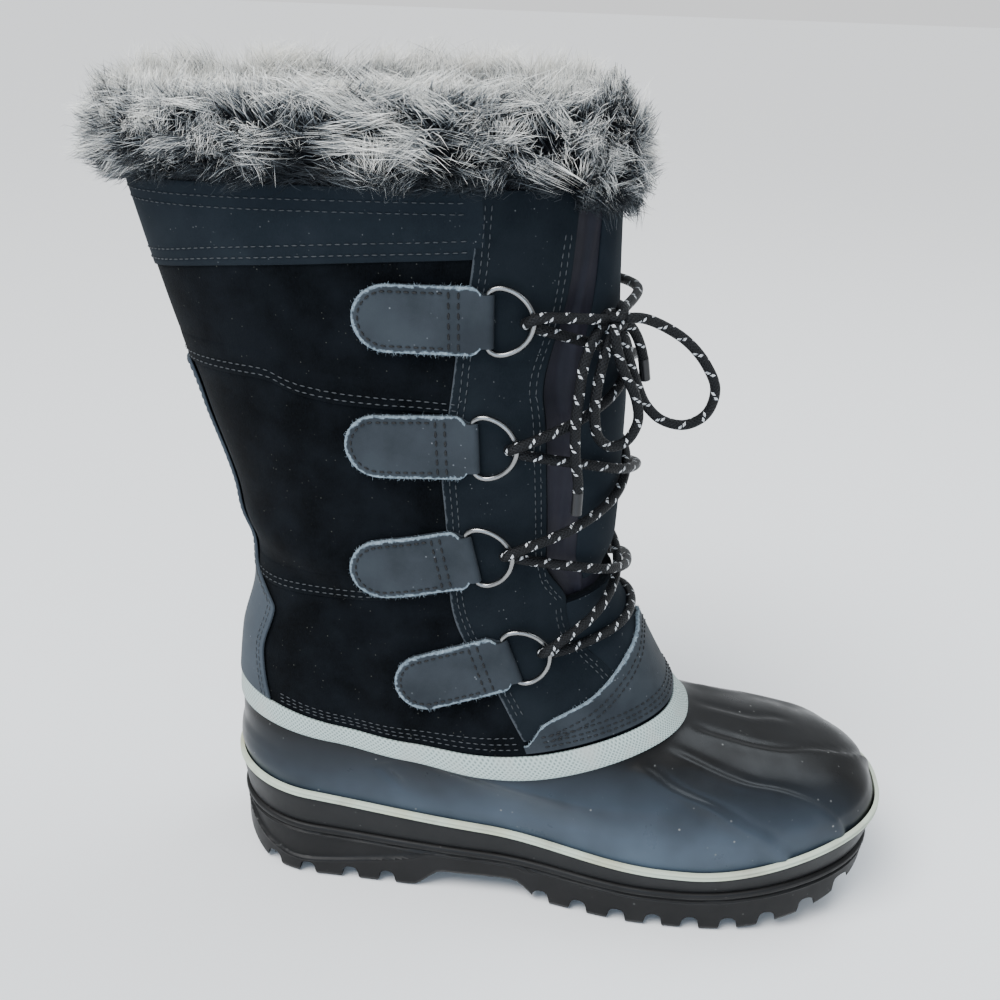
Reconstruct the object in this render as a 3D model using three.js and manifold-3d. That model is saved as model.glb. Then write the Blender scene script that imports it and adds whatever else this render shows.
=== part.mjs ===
// A woman's mid-calf winter boot for the right foot: a moulded rubber shell on a lugged sole, a leather
// shaft sewn into the shell's rim, a fur collar, a tongue, and four pairs of leather tabs whose D-rings carry
// one lace.
//
// Millimetres. +X points to the toe, +Y to the inner side of the foot, +Z up. The origin is on the floor
// under the middle of the heel.
import * as THREE from "three";
import { mergeVertices } from "three/addons/utils/BufferGeometryUtils.js";
import Module from "manifold-3d";

const wasm = await Module();
wasm.setup();

// ---------------------------------------------------------------- driving dimensions
const GAP = 0.35; // clearance between pieces that touch
const SHELL_WALL = 2.6; // moulded rubber
const SHAFT_WALL = 3.6; // leather with its fleece lining
const TONGUE_WALL = 2.2;
const INSOLE_THICK = 5;
const OVERLAY_GAP = 0.85; // under the tabs, the counter and the instep's overlay, whose columns are their own
const OVERLAY = 1.4; // leather and tape sewn on top of the shaft
const BAND_THICK = 1.7; // rubber sidewall over the shell's base
const STRIPE_HALF = 1.6; // half the pale stripe's width
const LUG_DEPTH = 5;
const GROOVE = 6.4; // from one lug to the next along the boot
const CHANNEL = 4; // the two long grooves beside the middle lugs
const TAB_LENGTH = 49.5;
const TAB_HALF = 12.7;
const TAB_NECK = 9.9; // half width where the tab is folded round the ring's bar
const TAB_THICK = 2.4; // two layers of leather
const FOLD_OUT = 2.65; // the bar's middle above the shaft
const WIRE = 1; // radius of the ring's steel
const RING_HALF = 11.8; // from the ring's middle to the middle of its wire
const RING_REACH = 16.5; // how far the bow stands past the bar
const RING_LIFT = 0.13; // the bow's slope away from the shaft
const LACE = 2; // radius

// The last: one row for each level, from the sole's top (0) to the leather rim (13). Each is a loop round the
// boot. back and front are its ends in x. The half widths are those of the heel, the waist and the ball.
// heelAt and ballAt are the shares of its length where the heel's round ends and the toe's begins. The z
// columns are its heights, toeIn is the toe's shift to the inner side, and lead is how far the inner ball lies
// ahead of the outer one.
const LAST_COLUMNS = [
  "back", "front", "heelHalf", "waistHalf", "ballHalf", "heelAt", "ballAt",
  "zBack", "zWaist", "zBall", "zFront", "toeIn", "lead",
];
const LAST = [
  [-43.5, 235.5, 35, 37, 48, 0.14, 0.72, 24, 19, 17, 27, 7, 0.04],
  [-47, 241, 38, 40, 51, 0.14, 0.72, 50, 38, 30, 50, 7, 0.04], // the pale stripe
  [-48.5, 238.5, 38.5, 41, 51.5, 0.14, 0.72, 57, 47, 43, 57, 7, 0.04],
  [-48, 228.5, 38, 41, 50, 0.15, 0.69, 63, 53.5, 53, 65, 6.5, 0.04],
  [-47, 210.5, 37.5, 41, 48, 0.17, 0.66, 68, 59.5, 58.5, 71, 5, 0.035],
  [-47, 182, 37, 41, 46, 0.2, 0.63, 73, 65.5, 62.5, 77, 4, 0.03],
  [-46.5, 155, 36.5, 40.5, 44.5, 0.24, 0.61, 78, 70, 66.5, 84, 3, 0.02], // the tape's lower edge
  [-46, 148, 36, 39.5, 42.5, 0.27, 0.6, 88, 78, 76, 92, 2, 0.01], // the tape's upper edge
  [-43.5, 130, 36, 39.5, 39, 0.3, 0.56, 110.5, 102, 106.5, 124.5, 1, 0],
  [-36.5, 116.5, 37.5, 39.5, 39, 0.37, 0.57, 140.5, 137, 142.5, 154, 0, 0], // the ankle
  [-42.5, 117.5, 39.5, 40.5, 40, 0.42, 0.58, 175.5, 175, 179.5, 186, 0, 0],
  [-55, 117.5, 41.5, 42, 41.5, 0.44, 0.58, 215, 215.5, 218.5, 223, 0, 0],
  [-68, 112.5, 43, 43.5, 43, 0.45, 0.58, 254.5, 255.5, 257, 261, 0, 0],
  [-82.5, 110.5, 44.5, 44.5, 44.5, 0.46, 0.58, 306.5, 310, 311, 313, 0, 0], // the leather rim
];
const RIM = LAST.length - 1;
const SHELL_RIM = 6.42;
const SHAFT_FOOT = 6.6;
const BAND_FOOT = 0.25;

// The sole's underside: height over the floor at stations along x, from the heel's back to the toe's tip.
const UNDERSIDE_X = [-47, -39, -28, 38, 52, 84, 98, 172, 188, 202, 216, 228, 238, 244];
const UNDERSIDE_Z = [14, 5, 0, 0, 9, 9, 0, 0, 1.6, 5, 9.5, 15, 23, 32];
const GROOVES_X = [-27, -10, 10, 27, 97, 114, 131, 147, 163, 179.5, 196, 213, 228];
const CHANNELS = [{ from: -34, to: 44, y: 12 }, { from: 90, to: 222, y: 14 }];

// The throat: half its width, as a share of a turn round the boot, by level.
const THROAT_LEVELS = [6.6, 8.9, 9.5, 11.3, 12.4, 13];
const THROAT_HALF = [0.1, 0.105, 0.132, 0.132, 0.096, 0.085];
const THROAT_FOOT = 8.9;

// The counter with its back strip: half its width as a share of a turn, by level.
const COUNTER_LEVELS = [7.12, 8.1, 8.7, 8.9, 9.15, 9.6, 10.5, 11.5];
const COUNTER_HALF = [0.105, 0.094, 0.1, 0.08, 0.045, 0.03, 0.03, 0.045];

// The overlay over the instep: its upper edge's level against the turn from the middle of the front.
const VAMP_TURNS = [0, 0.06, 0.12, 0.165, 0.183];
const VAMP_TOPS = [8.12, 7.9, 7.62, 7.48, 7.25];
const VAMP_FOOT = 7.13;

// The tabs from the top down: where the fold lies in the side view, and the tab's slope up to the front.
const TABS = [
  { tier: 1, x: 66.5, z: 265, slope: 0.02 },
  { tier: 2, x: 62.5, z: 216, slope: 0.06 },
  { tier: 3, x: 62.5, z: 169, slope: 0.23 },
  { tier: 4, x: 79, z: 123, slope: 0.36 },
];
const SIDES = [{ word: "outer", sign: -1 }, { word: "inner", sign: 1 }];

// Fur sections: out from the rim and up from it. Each is an upturned U over the leather it is sewn to.
const COLLAR_FUR = [
  [0.6, 0.5], [5, 0.5], [12, 2], [17, 10], [16.5, 24], [10, 34], [0, 38],
  [-10, 34], [-15, 22], [-15, 0], [-12, -22], [-4.7, -25], [-4.7, 1.7], [0.6, 1.7],
];
const TONGUE_FUR = [
  [0.8, -9], [5, -11], [9, -6], [12, 6], [11, 22], [4, 32], [-6, 35],
  [-15, 28], [-18, 10], [-15, -12], [-7.2, -15], [-7.2, 1.7], [0.8, 1.7],
];

// The bow of the lace: routes chosen by hand, from the knot outwards.
const KNOT = [111.5, -28, 264.5];
const KNOT_SIZE = [4.6, 4.1, 5];
const STRAND_ENDS = { outer: [-7, -0.5, 0.5], inner: [0.5, 6.4, 2] }; // where the lace meets the knot
const LOOP_A = [
  [117, -27.5, 265.5], [122, -25, 265], [129, -21.5, 262], [139, -18, 255.5], [147, -16, 246.5],
  [151.5, -15, 236.5], [149, -15, 226.5], [141.5, -15, 221.5], [132.5, -16, 223], [126, -18, 229],
  [121.8, -21.5, 238], [118, -25.5, 249], [114.8, -28, 257.5],
];
const LOOP_B = [
  [112, -34.5, 261.5], [113.5, -34.5, 255], [116.5, -33, 246.5], [121.5, -30.5, 236], [123, -30, 226.5],
  [119.5, -31, 219], [114, -33.5, 217], [109, -37.5, 221.5], [107, -39.5, 230], [107, -39.5, 239.5],
  [108.3, -37.5, 249], [109.8, -33, 256.5],
];
const END_A = [
  [106.6, -33, 262], [104.3, -37, 258], [102, -41, 250.5], [101, -42.5, 239.5], [100.3, -42.5, 228],
  [101, -42, 214.5], [102.5, -41, 203.5], [102.5, -41, 191.5],
];
const END_B = [[117, -22.8, 261.5], [120, -20, 257], [122.8, -17, 249], [124.5, -15, 239]];

// ---------------------------------------------------------------- curves
const mix = (a, b, t) => a + (b - a) * t;
const between = (value, from, to) => (value - from) / (to - from);
const clamp = (t, low, high) => Math.min(high, Math.max(low, t));
const ease = (t) => 0.5 - 0.5 * Math.cos(Math.PI * clamp(t, 0, 1));
const steps = (from, to, count) => Array.from({ length: count + 1 }, (_, i) => mix(from, to, i / count));
const vectors = (points) => points.map((p) => new THREE.Vector3(...p));

// A smooth curve through stations that never swings past them: cubic pieces with limited slopes.
function curve(xs, ys) {
  const rise = xs.slice(1).map((x, i) => (ys[i + 1] - ys[i]) / (x - xs[i]));
  const slope = xs.map((_, i) => {
    if (i === 0) return rise[0];
    if (i === xs.length - 1) return rise[i - 1];
    return rise[i - 1] * rise[i] <= 0 ? 0 : (2 * rise[i - 1] * rise[i]) / (rise[i - 1] + rise[i]);
  });
  return (value) => {
    const x = clamp(value, xs[0], xs[xs.length - 1]);
    const above = xs.findIndex((station) => station > x);
    const i = above < 0 ? xs.length - 2 : above - 1;
    const width = xs[i + 1] - xs[i];
    const t = (x - xs[i]) / width;
    const level = ys[i] * (1 + 2 * t) * (1 - t) ** 2 + ys[i + 1] * t * t * (3 - 2 * t);
    return level + width * (slope[i] * t * (1 - t) ** 2 - slope[i + 1] * t * t * (1 - t));
  };
}

const underside = curve(UNDERSIDE_X, UNDERSIDE_Z);
const throatHalf = curve(THROAT_LEVELS, THROAT_HALF);
const counterHalf = curve(COUNTER_LEVELS, COUNTER_HALF);
const vampTop = curve(VAMP_TURNS, VAMP_TOPS);

// ---------------------------------------------------------------- the last
const TOE_BLUNT = 2.5; // 2 would be an ellipse
const WAIST_SHARE = 0.38; // where a loop's waist height is measured
const levels = LAST.map((_, i) => i);
const lastAt = LAST_COLUMNS.map((_, k) => curve(levels, LAST.map((row) => row[k])));

// A point of the last. turn runs 0..1 from the toe along the outer side to the heel and back along the inner.
function lastPoint(level, turn) {
  const s = Object.fromEntries(LAST_COLUMNS.map((name, k) => [name, lastAt[k](level)]));
  const share = (1 + Math.cos(2 * Math.PI * turn)) / 2; // 0 at the heel, 1 at the toe
  const side = turn - Math.floor(turn) < 0.5 ? -1 : 1;
  const ballAt = s.ballAt + side * s.lead;
  const middle = (s.heelAt + ballAt) / 2;
  let half;
  if (share < s.heelAt) half = s.heelHalf * Math.sqrt(1 - (1 - share / s.heelAt) ** 2);
  else if (share < middle) half = mix(s.heelHalf, s.waistHalf, ease(between(share, s.heelAt, middle)));
  else if (share < ballAt) half = mix(s.waistHalf, s.ballHalf, ease(between(share, middle, ballAt)));
  else half = s.ballHalf * Math.max(0, 1 - between(share, ballAt, 1) ** TOE_BLUNT) ** (1 / TOE_BLUNT);
  const height = curve([0, WAIST_SHARE, s.ballAt, 1], [s.zBack, s.zWaist, s.zBall, s.zFront]);
  return new THREE.Vector3(mix(s.back, s.front, share), side * half + s.toeIn * ease(share), height(share));
}

function normalAt(level, turn) {
  const up = lastPoint(Math.min(RIM, level + 0.05), turn).sub(lastPoint(Math.max(0, level - 0.05), turn));
  const round = lastPoint(level, turn + 0.004).sub(lastPoint(level, turn - 0.004));
  return up.cross(round).normalize();
}

// A point of the last moved out along the surface's normal.
const surface = (level, turn, out = 0) => lastPoint(level, turn).addScaledVector(normalAt(level, turn), out);

// The level and turn where the last, seen from one side, shows a point x, z.
function onSide(sign, x, z) {
  let level = 9;
  let turn = 0.2;
  for (let round = 0; round < 12; round++) {
    const here = lastPoint(level, turn);
    const up = lastPoint(level + 0.01, turn).sub(here).divideScalar(0.01);
    const along = lastPoint(level, turn + 0.001).sub(here).divideScalar(0.001);
    const det = up.x * along.z - along.x * up.z;
    const dx = x - here.x;
    const dz = z - here.z;
    level = clamp(level + (dx * along.z - dz * along.x) / det, SHAFT_FOOT, RIM);
    turn = clamp(turn + (up.x * dz - up.z * dx) / det, 0.02, 0.48);
  }
  return { level, turn: sign < 0 ? turn : 1 - turn };
}

// ---------------------------------------------------------------- solids
// A closed geometry from triangles of points, without those that have no area.
function geometryFrom(triangles) {
  const keep = triangles.filter(([a, b, c]) => !a.equals(b) && !b.equals(c) && !c.equals(a));
  return mergeVertices(new THREE.BufferGeometry().setFromPoints(keep.flat()));
}

// A wall between two matching grids of points [row][column]. Rows go up and columns go clockwise seen from
// above. A closed grid joins its last column to its first, and left out cells are holes through the wall.
function wall(outer, inner, closed, leftOut = () => false) {
  const rows = outer.length - 1;
  const cells = closed ? outer[0].length : outer[0].length - 1;
  const next = (c) => (c + 1) % outer[0].length;
  const has = (r, c) => {
    if (r < 0 || r >= rows) return false;
    if (!closed && (c < 0 || c >= cells)) return false;
    return !leftOut(r, (c + cells) % cells);
  };
  const faces = [];
  const quad = (a, b, c, d) => faces.push([a, b, c], [a, c, d]);
  for (let r = 0; r < rows; r++)
    for (let c = 0; c < cells; c++) {
      if (!has(r, c)) continue;
      const n = next(c);
      quad(outer[r][c], outer[r + 1][c], outer[r + 1][n], outer[r][n]);
      quad(inner[r][c], inner[r][n], inner[r + 1][n], inner[r + 1][c]);
      if (!has(r - 1, c)) quad(outer[r][c], outer[r][n], inner[r][n], inner[r][c]);
      if (!has(r + 1, c)) quad(outer[r + 1][n], outer[r + 1][c], inner[r + 1][c], inner[r + 1][n]);
      if (!has(r, c - 1)) quad(outer[r + 1][c], outer[r][c], inner[r][c], inner[r + 1][c]);
      if (!has(r, c + 1)) quad(outer[r][n], outer[r + 1][n], inner[r + 1][n], inner[r][n]);
    }
  return geometryFrom(faces);
}

// A solid through stacked loops of points, closed below and above by strips from side to side. The loops
// start at the toe and go clockwise seen from above, so that point i faces point -i.
function stack(loops) {
  const count = loops[0].length;
  const faces = [];
  loops.slice(1).forEach((upper, k) =>
    upper.forEach((_, i) => {
      const n = (i + 1) % count;
      faces.push([loops[k][i], upper[i], upper[n]], [loops[k][i], upper[n], loops[k][n]]);
    }),
  );
  const lid = (loop, up) => {
    for (let i = 0; i < count / 2; i++) {
      const [a, b] = [loop[i], loop[(count - i) % count]];
      const [c, d] = [loop[count - i - 1], loop[i + 1]];
      faces.push(up ? [a, b, c] : [a, c, b], up ? [a, c, d] : [a, d, c]);
    }
  };
  lid(loops[0], false);
  lid(loops[loops.length - 1], true);
  return geometryFrom(faces);
}

// The faces between closed sections: sections[i][j] is point j of section i.
function sweep(sections) {
  const count = sections[0].length;
  const faces = [];
  sections.slice(1).forEach((far, k) =>
    far.forEach((_, j) => {
      const n = (j + 1) % count;
      faces.push([sections[k][j], far[n], far[j]], [sections[k][j], sections[k][n], far[n]]);
    }),
  );
  return faces;
}

function toSolid(geometry) {
  const plain = geometry.clone();
  plain.deleteAttribute("normal");
  plain.deleteAttribute("uv");
  const merged = mergeVertices(plain);
  const vertProperties = new Float32Array(merged.attributes.position.array);
  const triVerts = new Uint32Array(merged.index.array);
  return new wasm.Manifold(new wasm.Mesh({ numProp: 3, vertProperties, triVerts }));
}

function fromSolid(solid) {
  const mesh = solid.getMesh();
  const geometry = new THREE.BufferGeometry();
  geometry.setAttribute("position", new THREE.BufferAttribute(new Float32Array(mesh.vertProperties), 3));
  geometry.setIndex(Array.from(mesh.triVerts));
  return geometry;
}

const cut = (body, tools) => fromSolid(tools.map(toSolid).reduce((a, b) => a.subtract(b), toSolid(body)));
const join = (bodies) => fromSolid(bodies.map(toSolid).reduce((a, b) => a.add(b)));

const box = (from, to) => {
  const size = to.map((v, i) => v - from[i]);
  return new THREE.BoxGeometry(...size).translate(...from.map((v, i) => v + size[i] / 2));
};

// A round cord along hand-set points.
function cord(points, radius, pitch = 5) {
  const path = new THREE.CatmullRomCurve3(points, false, "centripetal");
  const section = new THREE.Shape(steps(0, 7, 7).map((i) => {
    const angle = (Math.PI * 2 * i) / 8;
    return new THREE.Vector2(radius * Math.cos(angle), radius * Math.sin(angle));
  }));
  const count = Math.max(3, Math.round(path.getLength() / (pitch * radius)));
  return new THREE.ExtrudeGeometry(section, { extrudePath: path, steps: count, bevelEnabled: false });
}

// The turns of a loop's columns, from the middle of the toe. The same columns run up every wall, so that
// walls that touch bend at the same places, and two of them run along the throat's edges.
const THROAT_COLUMNS = 6;
const BODY_COLUMNS = 30;
function turnsAt(level) {
  const half = throatHalf(level);
  const front = steps(0, half, THROAT_COLUMNS / 2).slice(0, -1);
  const back = front.slice(1).reverse().map((turn) => 1 - turn);
  return [...front, ...steps(half, 1 - half, BODY_COLUMNS), ...back];
}
const loopAt = (level, out, rise = 0) =>
  turnsAt(level).map((turn) => surface(level, turn, out).add(new THREE.Vector3(0, 0, rise)));

const boot = new THREE.Group();
function add(name, geometry, material) {
  const mesh = new THREE.Mesh(geometry, material);
  mesh.name = name;
  boot.add(mesh);
}

// ---------------------------------------------------------------- materials
const finish = (color, roughness, metalness = 0) =>
  new THREE.MeshStandardMaterial({ color, roughness, metalness });
const glossRubber = finish(0x202327, 0.35);
const soleRubber = finish(0x24211f, 0.6);
const paleRubber = finish(0xc9ccb8, 0.6);
const webbing = finish(0xb9c4bf, 0.9);
const suede = finish(0x0e1113, 0.95);
const leather = finish(0x2d3033, 0.7);
const nylon = finish(0x2a2833, 0.7);
const fur = finish(0xb9babb, 1);
const felt = finish(0x55565a, 1);
const steel = finish(0xc4c8cc, 0.3, 1);
const braid = finish(0x1b1c1d, 0.8);

// ---------------------------------------------------------------- sole
// A loop of the sole's outline at a height between its underside (0) and the band's foot (1).
const soleLoop = (out, share, lift = 0) =>
  turnsAt(BAND_FOOT).map((turn) => {
    const point = surface(BAND_FOOT, turn, out);
    return point.setZ(mix(underside(point.x) + lift, point.z - GAP, share));
  });

const TREAD_EDGE = { out: 1, lift: 3 }; // the tread's outline, and the height of its rounded edge
const SIDE_OUT = { low: 2.6, middle: 3.4 }; // how far the sole's side stands out
const soleBlank = stack([
  soleLoop(TREAD_EDGE.out, 0),
  soleLoop(SIDE_OUT.low, 0, TREAD_EDGE.lift),
  soleLoop(SIDE_OUT.middle, 0.55),
  soleLoop(BAND_THICK + GAP, 1),
  soleLoop(GAP, 1),
  loopAt(0, GAP, -GAP),
]);

const BELOW = -4; // cutting boxes start under the sole and reach past its sides
const BESIDE = 70;
const grooves = GROOVES_X.map((x) =>
  box([x - GROOVE / 2, -BESIDE, BELOW], [x + GROOVE / 2, BESIDE, underside(x) + LUG_DEPTH]));
const channels = CHANNELS.flatMap(({ from, to, y }) =>
  [-y, y].map((side) => box([from, side - CHANNEL / 2, BELOW], [to, side + CHANNEL / 2, LUG_DEPTH])));
add("outsole", cut(soleBlank, [...grooves, ...channels]), soleRubber);

const band = (out) => [loopAt(BAND_FOOT, out), loopAt(1, out, -STRIPE_HALF - GAP)];
add("foxing_band", wall(band(BAND_THICK + GAP), band(GAP), true), soleRubber);

const stripe = (out) => [loopAt(1, out, -STRIPE_HALF), loopAt(1, out, STRIPE_HALF)];
add("foxing_stripe", wall(stripe(BAND_THICK + 2 * GAP), stripe(2 * GAP), true), paleRubber);

const insoleOut = -SHELL_WALL - 2 * GAP;
add("insole", stack([loopAt(0.02, insoleOut), loopAt(0.02, insoleOut, INSOLE_THICK)]), felt);

// ---------------------------------------------------------------- shell and tape
const shellLevels = [0, 1, 2, 3, 4, 5, 6, SHELL_RIM];
const shellGrid = (out) => shellLevels.map((level) => loopAt(level, out));
add("shell", wall(shellGrid(0), shellGrid(-SHELL_WALL), true), glossRubber);

const tapeGrid = (out) => [6, 7.05].map((level) => loopAt(level, out));
add("rand_tape", wall(tapeGrid(GAP + OVERLAY), tapeGrid(GAP), true), webbing);

// ---------------------------------------------------------------- shaft and tongue
const shaftLevels = [SHAFT_FOOT, 7.05, 7.55, 8.1, THROAT_FOOT, 9.15, 9.6, 10.5, 11.7, RIM];
const shaftGrid = (out) => shaftLevels.map((level) => loopAt(level, out));
const inThroat = (row, column) => {
  const atFront = column < THROAT_COLUMNS / 2 || column >= THROAT_COLUMNS / 2 + BODY_COLUMNS;
  return shaftLevels[row] >= THROAT_FOOT && atFront;
};
add("shaft", wall(shaftGrid(0), shaftGrid(-SHAFT_WALL), true, inThroat), suede);

// The tongue lies behind the shaft at its edges and rises in the throat between them.
const TONGUE_GAP = 0.9;
const TONGUE_OUT = -0.5; // its middle, against the last
const TONGUE_EDGE = 0.014; // turns from the throat's edge to where it starts to rise
const TONGUE_RISE = 0.05;
const tongueLevels = [8.5, ...shaftLevels.filter((level) => level >= THROAT_FOOT)];
function tongueTurns(level) {
  const half = throatHalf(level);
  const lap = (0.6 * (1 - 2 * half)) / BODY_COLUMNS; // inside the shaft's first column
  const side = [half - 0.045, half - TONGUE_EDGE, half, half + lap];
  return [...side.slice().reverse().map((turn) => -turn), -0.03, 0, 0.03, ...side];
}
function tongueOut(level, turn) {
  const insideThroat = ease((throatHalf(level) - TONGUE_EDGE - Math.abs(turn)) / TONGUE_RISE);
  const aboveFoot = ease((level - THROAT_FOOT) / 0.6);
  return mix(-SHAFT_WALL - TONGUE_GAP, TONGUE_OUT, insideThroat * aboveFoot);
}
const tongueGrid = (behind) =>
  tongueLevels.map((level) =>
    tongueTurns(level).map((turn) => surface(level, turn, tongueOut(level, turn) - behind)));
add("tongue", wall(tongueGrid(0), tongueGrid(TONGUE_WALL), false), nylon);

// ---------------------------------------------------------------- fur
// A fur roll over the rim at a row of turns.
function furRoll(section, atTurns) {
  const levelDrop = lastPoint(RIM, 0.25).z - lastPoint(RIM - 1, 0.25).z;
  const sections = atTurns.map((turn) =>
    section.map(([out, up]) => {
      const below = Math.min(0, up);
      const point = surface(RIM + below / levelDrop, turn).add(new THREE.Vector3(0, 0, up - below));
      return point.addScaledVector(normalAt(RIM, turn).setZ(0).normalize(), out);
    }));
  const flat = section.map(([out, up]) => new THREE.Vector2(out, up));
  const corners = THREE.ShapeUtils.triangulateShape(flat, []);
  const end = (loop) => corners.map((triangle) => triangle.map((i) => loop[i]));
  const first = end(sections[0]).map(([a, b, c]) => [a, c, b]);
  return geometryFrom([...sweep(sections), ...first, ...end(sections[sections.length - 1])]);
}
const furSplit = turnsAt(RIM)[THROAT_COLUMNS / 2 + 2]; // where the tongue's fur meets the collar's
const tongueFurEnd = furSplit - 0.004;
add("fur_collar", furRoll(COLLAR_FUR, turnsAt(RIM).filter((t) => t >= furSplit && t <= 1 - furSplit)), fur);
add("tongue_fur", furRoll(TONGUE_FUR, steps(-tongueFurEnd, tongueFurEnd, 8)), fur);

// ---------------------------------------------------------------- leather overlays
const counterGrid = (out) =>
  COUNTER_LEVELS.map((level) => {
    const half = counterHalf(level);
    return steps(0.5 - half, 0.5 + half, 8).map((turn) => surface(level, turn, out));
  });
add("heel_counter", wall(counterGrid(OVERLAY_GAP + OVERLAY), counterGrid(OVERLAY_GAP), false), leather);

const vampEnd = VAMP_TURNS[VAMP_TURNS.length - 1];
const vampHalf = [...turnsAt(VAMP_FOOT).filter((turn) => turn < vampEnd - 0.005), vampEnd];
const vampTurns = [...vampHalf.slice(1).reverse().map((turn) => -turn), ...vampHalf];
const vampGrid = (out) =>
  steps(0, 1, 3).map((share) =>
    vampTurns.map((turn) => surface(mix(VAMP_FOOT, vampTop(Math.abs(turn)), share), turn, out)));
add("vamp_overlay", wall(vampGrid(OVERLAY_GAP + OVERLAY), vampGrid(OVERLAY_GAP), false), leather);

// ---------------------------------------------------------------- tabs and rings
// Where the leather layers lie along a tab: back from the fold, half width, underside and top over the shaft.
const TAB_TOP = OVERLAY_GAP + TAB_THICK;
const TAB_ROWS = [
  [-2.2, TAB_NECK, 1.6, 3.6], [-0.9, TAB_NECK, OVERLAY_GAP, 4.6], [1.6, TAB_NECK + 1, OVERLAY_GAP, 4.7],
  [4, TAB_HALF - 0.3, OVERLAY_GAP, TAB_TOP + 0.6],
  ...[8, 18, 28].map((back) => [back, TAB_HALF, OVERLAY_GAP, TAB_TOP]),
];
const TAB_ROUND = [0, 0.45, 0.8, 1].map((share) => {
  const back = TAB_LENGTH - TAB_HALF * (1 - share);
  return [back, TAB_HALF * Math.sqrt(1 - share * share), OVERLAY_GAP, TAB_TOP];
});

// A point over the shaft, measured from a tab's fold: forward along the tab, across it, and out.
function tabPoint(tab, sign, forward, across, out) {
  const x = tab.x + forward * Math.cos(tab.slope) - across * Math.sin(tab.slope);
  const z = tab.z + forward * Math.sin(tab.slope) + across * Math.cos(tab.slope);
  const { level, turn } = onSide(sign, x, z);
  return surface(level, turn, out);
}

// The flat frame of a ring: its origin in the middle of the bar, forward, across and out.
function ringFrame(tab, sign) {
  const origin = tabPoint(tab, sign, 0, 0, FOLD_OUT);
  const across = tabPoint(tab, sign, 0, 6, FOLD_OUT).sub(tabPoint(tab, sign, 0, -6, FOLD_OUT)).normalize();
  const ahead = tabPoint(tab, sign, 5, 0, FOLD_OUT).sub(tabPoint(tab, sign, -3, 0, FOLD_OUT)).normalize();
  const out = new THREE.Vector3().crossVectors(ahead, across).normalize().multiplyScalar(-sign);
  const forward = ahead.clone().addScaledVector(out, RING_LIFT).normalize();
  return { origin, across, forward, out };
}

const inFrame = (frame, forward, across, out = 0) =>
  frame.origin.clone()
    .addScaledVector(frame.forward, forward)
    .addScaledVector(frame.across, across)
    .addScaledVector(frame.out, out);

function ringGeometry(frame) {
  const half = [[0, 0], [0, 0.5], [0, 0.88], [0.13, 1.02], [0.32, 1.04], [0.62, 0.88], [0.88, 0.52]];
  const mirrored = half.slice(1).reverse().map(([a, b]) => [a, -b]);
  const outline = [...half, [1, 0], ...mirrored];
  const points = outline.map(([a, b]) => inFrame(frame, a * RING_REACH, b * RING_HALF));
  const path = new THREE.CatmullRomCurve3(points, true, "centripetal");
  return fromSolid(toSolid(new THREE.TubeGeometry(path, 18, WIRE, 6, true)));
}

function tabGeometry(tab, sign, frame) {
  const order = sign < 0 ? -1 : 1; // columns go clockwise on both sides
  const rows = [...TAB_ROWS, ...TAB_ROUND];
  const grid = (pick) =>
    rows.map((row) =>
      steps(-1, 1, 3).map((v) => tabPoint(tab, sign, -row[0], order * v * row[1], row[pick])));
  const bar = new THREE.CylinderGeometry(WIRE + 0.45, WIRE + 0.45, 40, 8);
  bar.applyQuaternion(new THREE.Quaternion().setFromUnitVectors(new THREE.Vector3(0, 1, 0), frame.across));
  bar.translate(...frame.origin.toArray());
  return cut(wall(grid(3), grid(2), false), [bar]);
}

const hooks = {};
for (const { word, sign } of SIDES)
  for (const tab of TABS) {
    const frame = ringFrame(tab, sign);
    add(`tab_${word}_${tab.tier}`, tabGeometry(tab, sign, frame), leather);
    add(`ring_${word}_${tab.tier}`, ringGeometry(frame), steel);
    hooks[word + tab.tier] = inFrame(frame, RING_REACH + WIRE + GAP + LACE, 0);
  }

// ---------------------------------------------------------------- lace
// A strand between two places, bent round the front of the shaft. lift is how much further out it ends.
const STRAND_OUT = 3.6;
const CROSS_OUT = 2.4; // one strand of a crossing passes over the other
function strand(from, to, over, lift = 0) {
  const onLast = (point) => {
    const sign = point.y < 0 ? -1 : 1;
    const { level, turn } = onSide(sign, point.x, point.z);
    return { level, turn: sign < 0 ? turn : turn - 1 };
  };
  const [a, b] = [onLast(from), onLast(to)];
  const between = steps(0, 1, 8).slice(1, 8).map((t) => {
    const out = STRAND_OUT + over * Math.sin(Math.PI * t) + lift * t;
    return surface(mix(a.level, b.level, t), mix(a.turn, b.turn, t), out);
  });
  return cord([from, ...between, to], LACE, 6);
}
const strands = [strand(hooks.outer4, hooks.inner4, 0)];
for (const tier of [4, 3, 2]) {
  strands.push(strand(hooks[`outer${tier}`], hooks[`inner${tier - 1}`], 0));
  strands.push(strand(hooks[`inner${tier}`], hooks[`outer${tier - 1}`], CROSS_OUT));
}
for (const { word } of SIDES) {
  const end = new THREE.Vector3(...KNOT).add(new THREE.Vector3(...STRAND_ENDS[word]));
  strands.push(strand(hooks[`${word}1`], end, 0, 4));
}
add("lace_crossings", join(strands), braid);
add("lace_knot", new THREE.SphereGeometry(1, 10, 8).scale(...KNOT_SIZE).translate(...KNOT), braid);
add("lace_loop_a", cord(vectors(LOOP_A), LACE), braid);
add("lace_loop_b", cord(vectors(LOOP_B), LACE), braid);
add("lace_end_a", cord(vectors(END_A), LACE), braid);
add("lace_end_b", cord(vectors(END_B), LACE), braid);

export default boot;
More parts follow.
